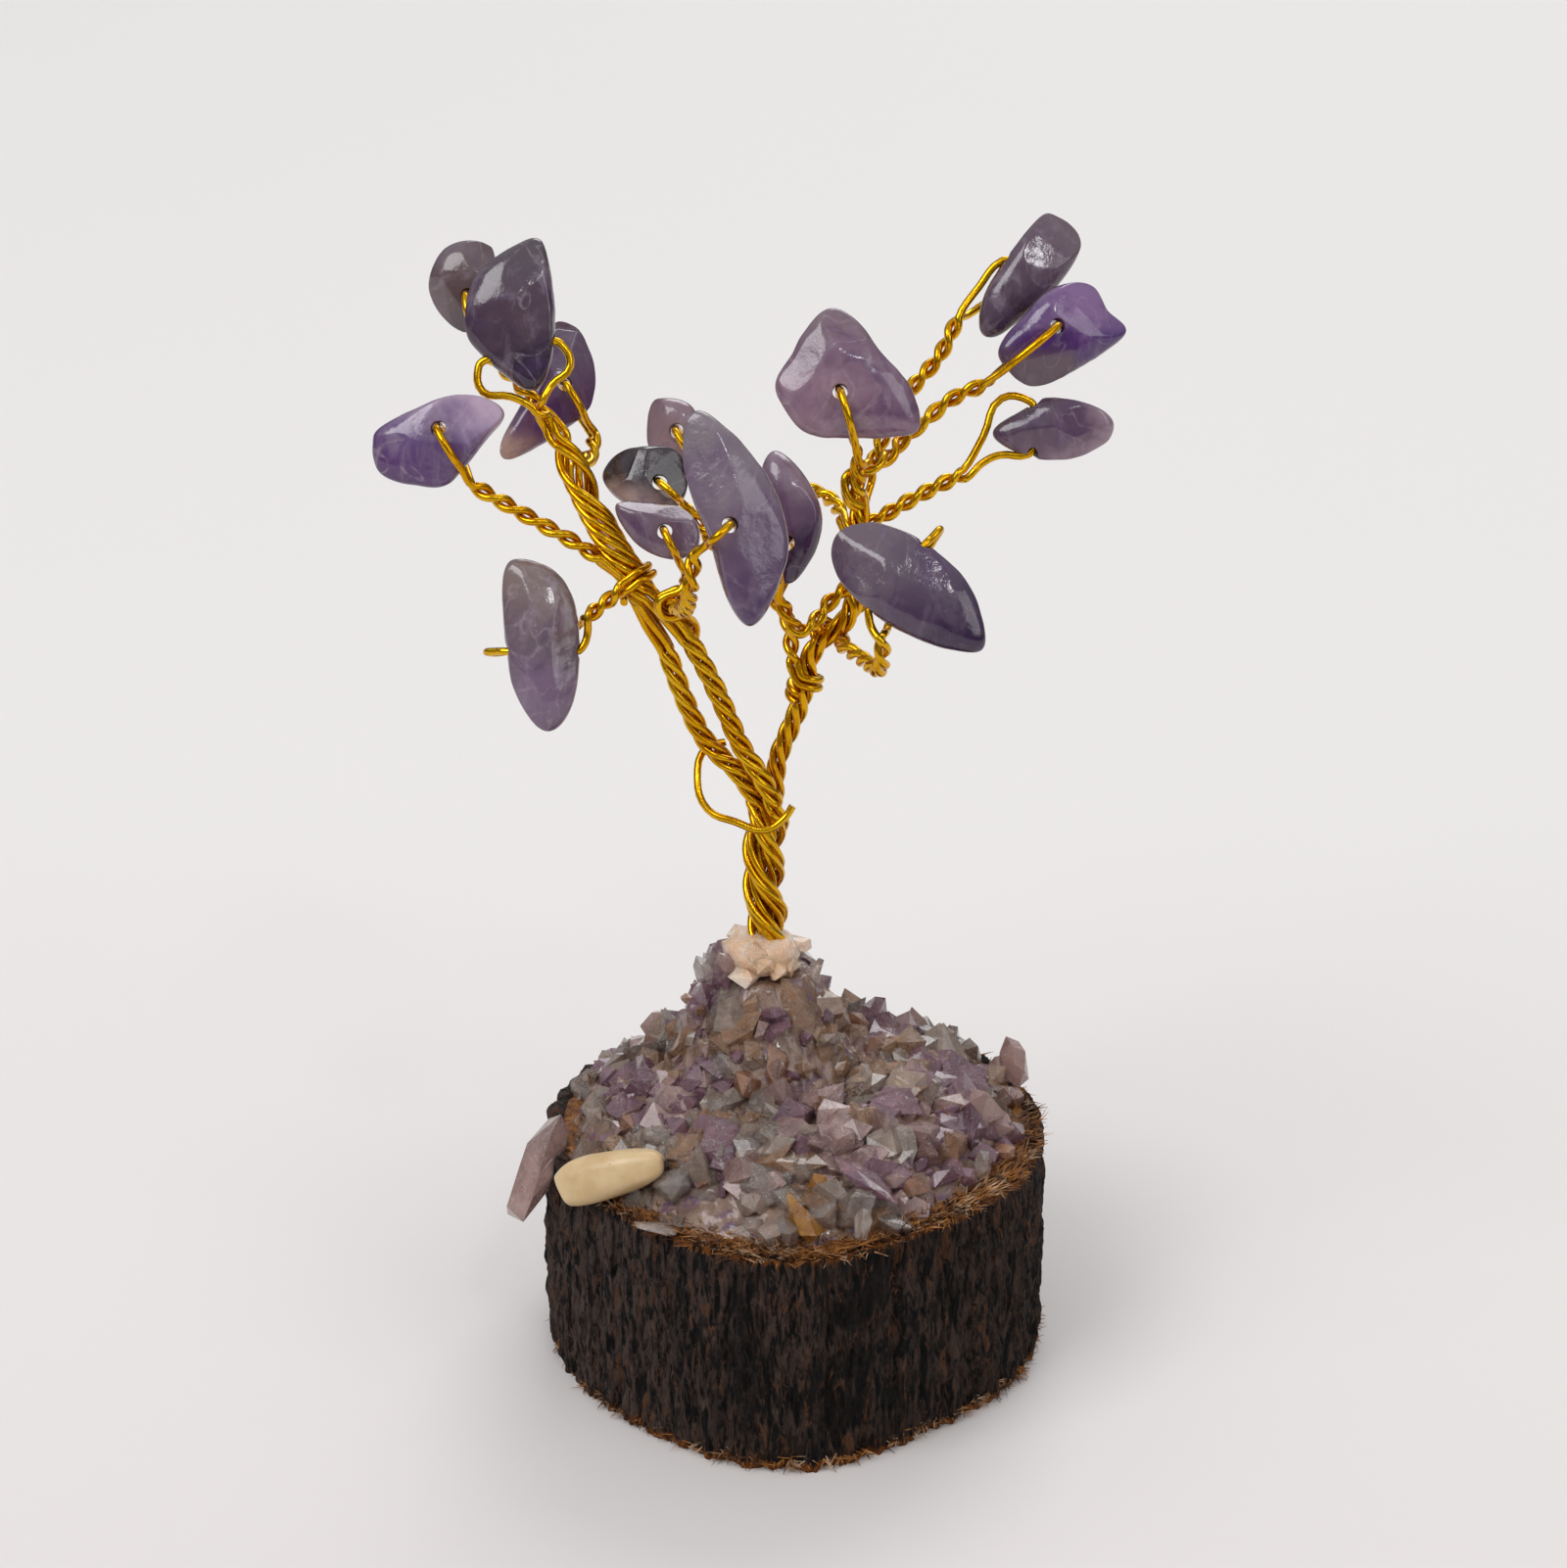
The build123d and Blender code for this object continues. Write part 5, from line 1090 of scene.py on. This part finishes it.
def laidWays(start, end):
    main = (end - start).normalized()
    flat = main.cross(Vector((0, 0.2, 1))).normalized()
    return flat, main.cross(flat), main


def laidShard(bm, start, end, width, thick, chance, material=0, corners=16):
    halves = (width / 2, thick / 2, (end - start).length / 2)
    addShard(bm, (start + end) / 2, laidWays(start, end), halves, chance, material, corners, 0.86)


singles = {
    "overhanging_crystal": ("lilac", "crushed_amethyst", [
        ((-0.887, -0.202, 0.131), (-1.107, -0.363, -0.298), 4.3, 2.6)]),
    "leaf_crystal": ("violet", "crushed_amethyst", [
        ((0.137, -0.76, 0.225), (0.4, -0.93, 0.11), 2.5, 1.0)]),
    "tall_rim_crystal": ("lilac", "crushed_amethyst", [
        ((0.899, 0.202, 0), (0.851, 0.202, 0.25), 2.6, 1.7)]),
    "orange_crystal": ("russet", "orange_stone", [
        ((0.262, 0.167, 0.2), (0.232, 0.167, 0.38), 2.8, 2.4)]),
    "large_crystal": ("violet", "crushed_amethyst", [
        ((0.33, -0.5, 0.14), (0.655, -0.452, 0.12), 3.0, 2.4)]),
    "clear_flakes": ("clear", "clear_stone", [
        ((-0.607, -0.895, 0.02), (-0.417, -0.98, 0.02), 1.8, 0.7),
        ((0.244, -1.03, 0), (0.256, -1.012, 0.16), 1.3, 1.1),
        ((-0.292, -0.018, 0.56), (-0.327, 0, 0.75), 1.9, 1.1)]),
}
for name, (kind, slot, parts) in singles.items():
    chance = Random(name)
    bm = bmesh.new()
    for start, end, width, thick in parts:
        laidShard(bm, onSlice(start), onSlice(end), width, thick, chance)
    piece(bm, f"{name}_piece", [stones[kind]], "tree", [name], False)

# Pieces that the photo shows one by one among the crushed stone: foot on the mound, way of the length, width,
# thickness and number of the kind in the palette
shown = [((-11.9, 1.9), (1.6, 0.3, 0.9), 1.6, 1.3, 7), ((1.3, -14.7), (0.2, -0.2, 2.2), 1.4, 0.8, 6),
         ((-6.9, -12.9), (2.9, -0.4, 0.9), 2.4, 1.4, 3), ((-1.8, -15.0), (0.4, 1.6, 1.9), 2.8, 1.5, 0),
         ((-0.7, -14.3), (0.4, 1.2, 2.2), 1.8, 1.1, 3), ((11.9, -9.2), (0.2, 0.2, 2.6), 1.5, 1.0, 3),
         ((12.8, -6.6), (1.5, 0.5, 0.8), 2.1, 1.5, 5), ((-5.2, -11.6), (0.8, 0.3, 1.9), 2.0, 1.2, 3),
         ((-12.7, -6.3), (1.7, 1.5, 1.0), 2.4, 1.8, 1), ((9.9, -7.4), (2.6, 2.2, 0.4), 2.6, 2.0, 1),
         ((-7.4, -4.6), (1.6, 0.3, 2.6), 2.9, 2.2, 1), ((5.2, -12.5), (2.0, 0.7, 0.4), 2.0, 1.4, 0),
         ((-2.9, -11.1), (1.7, -0.2, 0.2), 1.4, 1.2, 1), ((13.4, 4.2), (0.7, 0.6, 2.6), 2.2, 1.6, 0),
         ((10.6, 8.6), (0.3, 0.4, 2.4), 1.8, 1.4, 4), ((-9.4, 8.6), (0.3, 0.3, 3.0), 3.0, 2.2, 0),
         ((-12.4, 5.4), (-0.3, 0.2, 1.9), 1.9, 1.4, 4), ((-15.4, -1.2), (-1.2, -0.4, -0.4), 1.9, 1.2, 4),
         ((3.1, -9.4), (1.8, 1.4, 0.4), 2.4, 1.8, 4), ((-9.9, -8.6), (1.7, 1.2, 1.0), 2.3, 1.7, 0),
         ((14.2, 1.0), (0.4, 1.4, 1.2), 2.4, 1.6, 0), ((-6.6, 10.6), (0.6, 0.2, 2.4), 2.4, 1.8, 1),
         ((-5.3, -0.6), (-0.9, -0.2, 2.7), 2.2, 1.3, 3), ((-4.3, -1.4), (-0.3, -0.3, 2.2), 1.9, 1.2, 0),
         ((-5.9, -0.4), (-1.7, 0, 0.7), 1.1, 0.9, 2), ((1.1, -0.6), (0.7, -0.2, 2.1), 1.0, 0.7, 3),
         ((13.9, -3.8), (0.8, 1.0, 0.9), 1.9, 1.4, 6), ((-3.6, -14.6), (0.5, 0.9, 1.0), 2.0, 1.2, 0),
         ((-8.9, -13.6), (2.4, -1.0, 0.2), 2.2, 1.1, 3), ((6.0, -3.2), (1.8, 0.4, 1.0), 2.6, 2.0, 4)]
chance = Random("shown")
bm = bmesh.new()
for foot, way, width, thick, kind in shown:
    start = Vector((*foot, max(moundHeight(*foot), height) - 0.3))
    laidShard(bm, start, start + Vector(way), width, thick, chance, kind, 13)
piece(bm, "shown_grains", grains, "tree", (), False)

# The cream pebble, a smooth bean
bean = dict(start=(-0.88, -0.63, 0.03), end=(-0.5, -0.71, 0.165), wide=1.35, thick=1.45, half=3.75, taper=0.18,
            cut=-0.9, powers=(0.7, 0.8, 0.72), lump=0.09)
bm = ball(6)
start, end = onSlice(bean["start"]), onSlice(bean["end"])
flat, side, main = laidWays(start, end)
for vert in bm.verts:
    shares = [abs(c) ** power * (1 if c > 0 else -1) for c, power in zip(vert.co, bean["powers"])]
    shares = Vector(shares) * (1 + bean["lump"] * fractal(Vector(vert.co), 0.8, 2, 3))
    shares.xy *= 1 - bean["taper"] * shares.z
    shares.z = max(shares.z, bean["cut"] + 0.1 * shares.y)
    spot = (start + end) / 2 + flat * shares.x * bean["wide"] + side * shares.y * bean["thick"]
    vert.co = (spot + main * shares.z * bean["half"]) / 1000
piece(bm, "cream_pebble", [cream], "tree", ["cream_chip"])

# The collar, a torn lump of pink resin round the foot of the trunk
collar = dict(wide=2.5, tall=1.5, lift=1.25, rough=0.15, sunk=0.4, shards=23, out=(1.0, 2.5), rise=(-1.0, 0.7),
              lean=(-0.6, 0.8), spans=((0.8, 1.5), (0.6, 1.0), (0.9, 1.3)))
heart = Vector((coneX - 0.25, -0.1, dome["coneTop"] + collar["lift"]))
bm = ball(5)
for vert in bm.verts:
    lump = 1 + collar["rough"] * fractal(Vector(vert.co), 1.1, 2, 7)
    x, y, z = vert.co
    spot = heart + Vector((x * collar["wide"], y * collar["wide"], z * collar["tall"])) * lump
    vert.co = Vector((spot.x, spot.y, max(spot.z, dome["coneTop"] - collar["sunk"]))) / 1000
chance = Random("collar")
for i in range(collar["shards"]):
    angle = 2 * pi * i * 0.382 + 0.6
    spot = heart + ringPoint(angle, chance.uniform(*collar["out"]), chance.uniform(*collar["rise"]))
    leaning = ringPoint(angle, 1, chance.uniform(*collar["lean"]))
    halves = [chance.uniform(*span) for span in collar["spans"]]
    addShard(bm, spot, turnedWays(leaning, chance), halves, chance, 0, 10)
piece(bm, "collar_lump", [peach], "tree", ["resin_collar"], False)
print("single pieces")

# Stage: a pale floor, soft lights and the camera
bm = bmesh.new()
bmesh.ops.create_grid(bm, x_segments=1, y_segments=1, size=2.5)
floor = linked("floor", meshOf(bm, "floor"))
g = Finish("floor_finish")
# Painted shade: the floor is darker and warmer towards the front, standing in for the shade near the object.
behind = (g.level("Y") / 100 + (g.grain(0.004, 2) - 0.5) * 0.4).ramp(-1.2, 1.0)
g.blend(behind, (0.848, 0.824, 0.816), (0.882, 0.868, 0.86))
floor.data.materials.append(g.made(0.85))

world = bpy.data.worlds.new("studio")
scene.world = world
g = Graph(world)
upward = g.add("ShaderNodeSeparateXYZ", {}, "Z", g.add("ShaderNodeTexCoord", {}, "Generated"))
sky = g.mix(upward.ramp(0.05, 0.85), (0.14, 0.14, 0.14, 1), (0.62, 0.63, 0.65, 1))
rays = [g.add("ShaderNodeLightPath", {}, kind) for kind in ("Is Camera Ray", "Is Transmission Ray")]
seen = rays[0].math("MAXIMUM", rays[0], rays[1])
dim = g.add("ShaderNodeBackground", {}, 0, sky, 1.0)
pale = g.add("ShaderNodeBackground", {}, 0, (0.89, 0.89, 0.89), 1.0)
g.feed(g.nodes["World Output"].inputs[0], g.add("ShaderNodeMixShader", {}, 0, seen, dim, pale))

lamps = [
    dict(name="key", place=(-0.75, -0.6, 1.1), size=0.8, share=0.42),
    dict(name="spark", place=(0.3, -0.75, 0.95), size=0.14, share=0.06),
    dict(name="fill", place=(0.9, -0.7, 0.7), size=0.7, share=0.14),
    dict(name="rear", place=(0.3, 1.1, 1.1), size=0.9, share=0.32),
]
for lamp in lamps:
    light = bpy.data.lights.new(lamp["name"], "AREA")
    spot = Vector(lamp["place"])
    light.shape, light.size, light.energy = "SQUARE", lamp["size"], (pi * spot.length) ** 2 * lamp["share"]
    shone = linked(lamp["name"], light)
    shone.location = spot
    shone.rotation_euler = (Vector((0, 0, 0.035)) - spot).to_track_quat("-Z", "Y").to_euler()

view = dict(target=Vector((-0.0007, 0, 0.0387)), distance=0.22, pitch=22, lens=79.2)
camera = bpy.data.cameras.new("camera")
camera.lens, camera.sensor_width, camera.sensor_fit = view["lens"], 36, "HORIZONTAL"
camera.clip_start, camera.clip_end = 0.01, 20
eye = linked("camera", camera)
pitch = radians(view["pitch"])
eye.location = view["target"] + Vector((0, -cos(pitch), sin(pitch))) * view["distance"]
eye.rotation_euler = (pi / 2 - pitch, 0, 0)
scene.camera = eye
scene.view_settings.view_transform = "Standard"
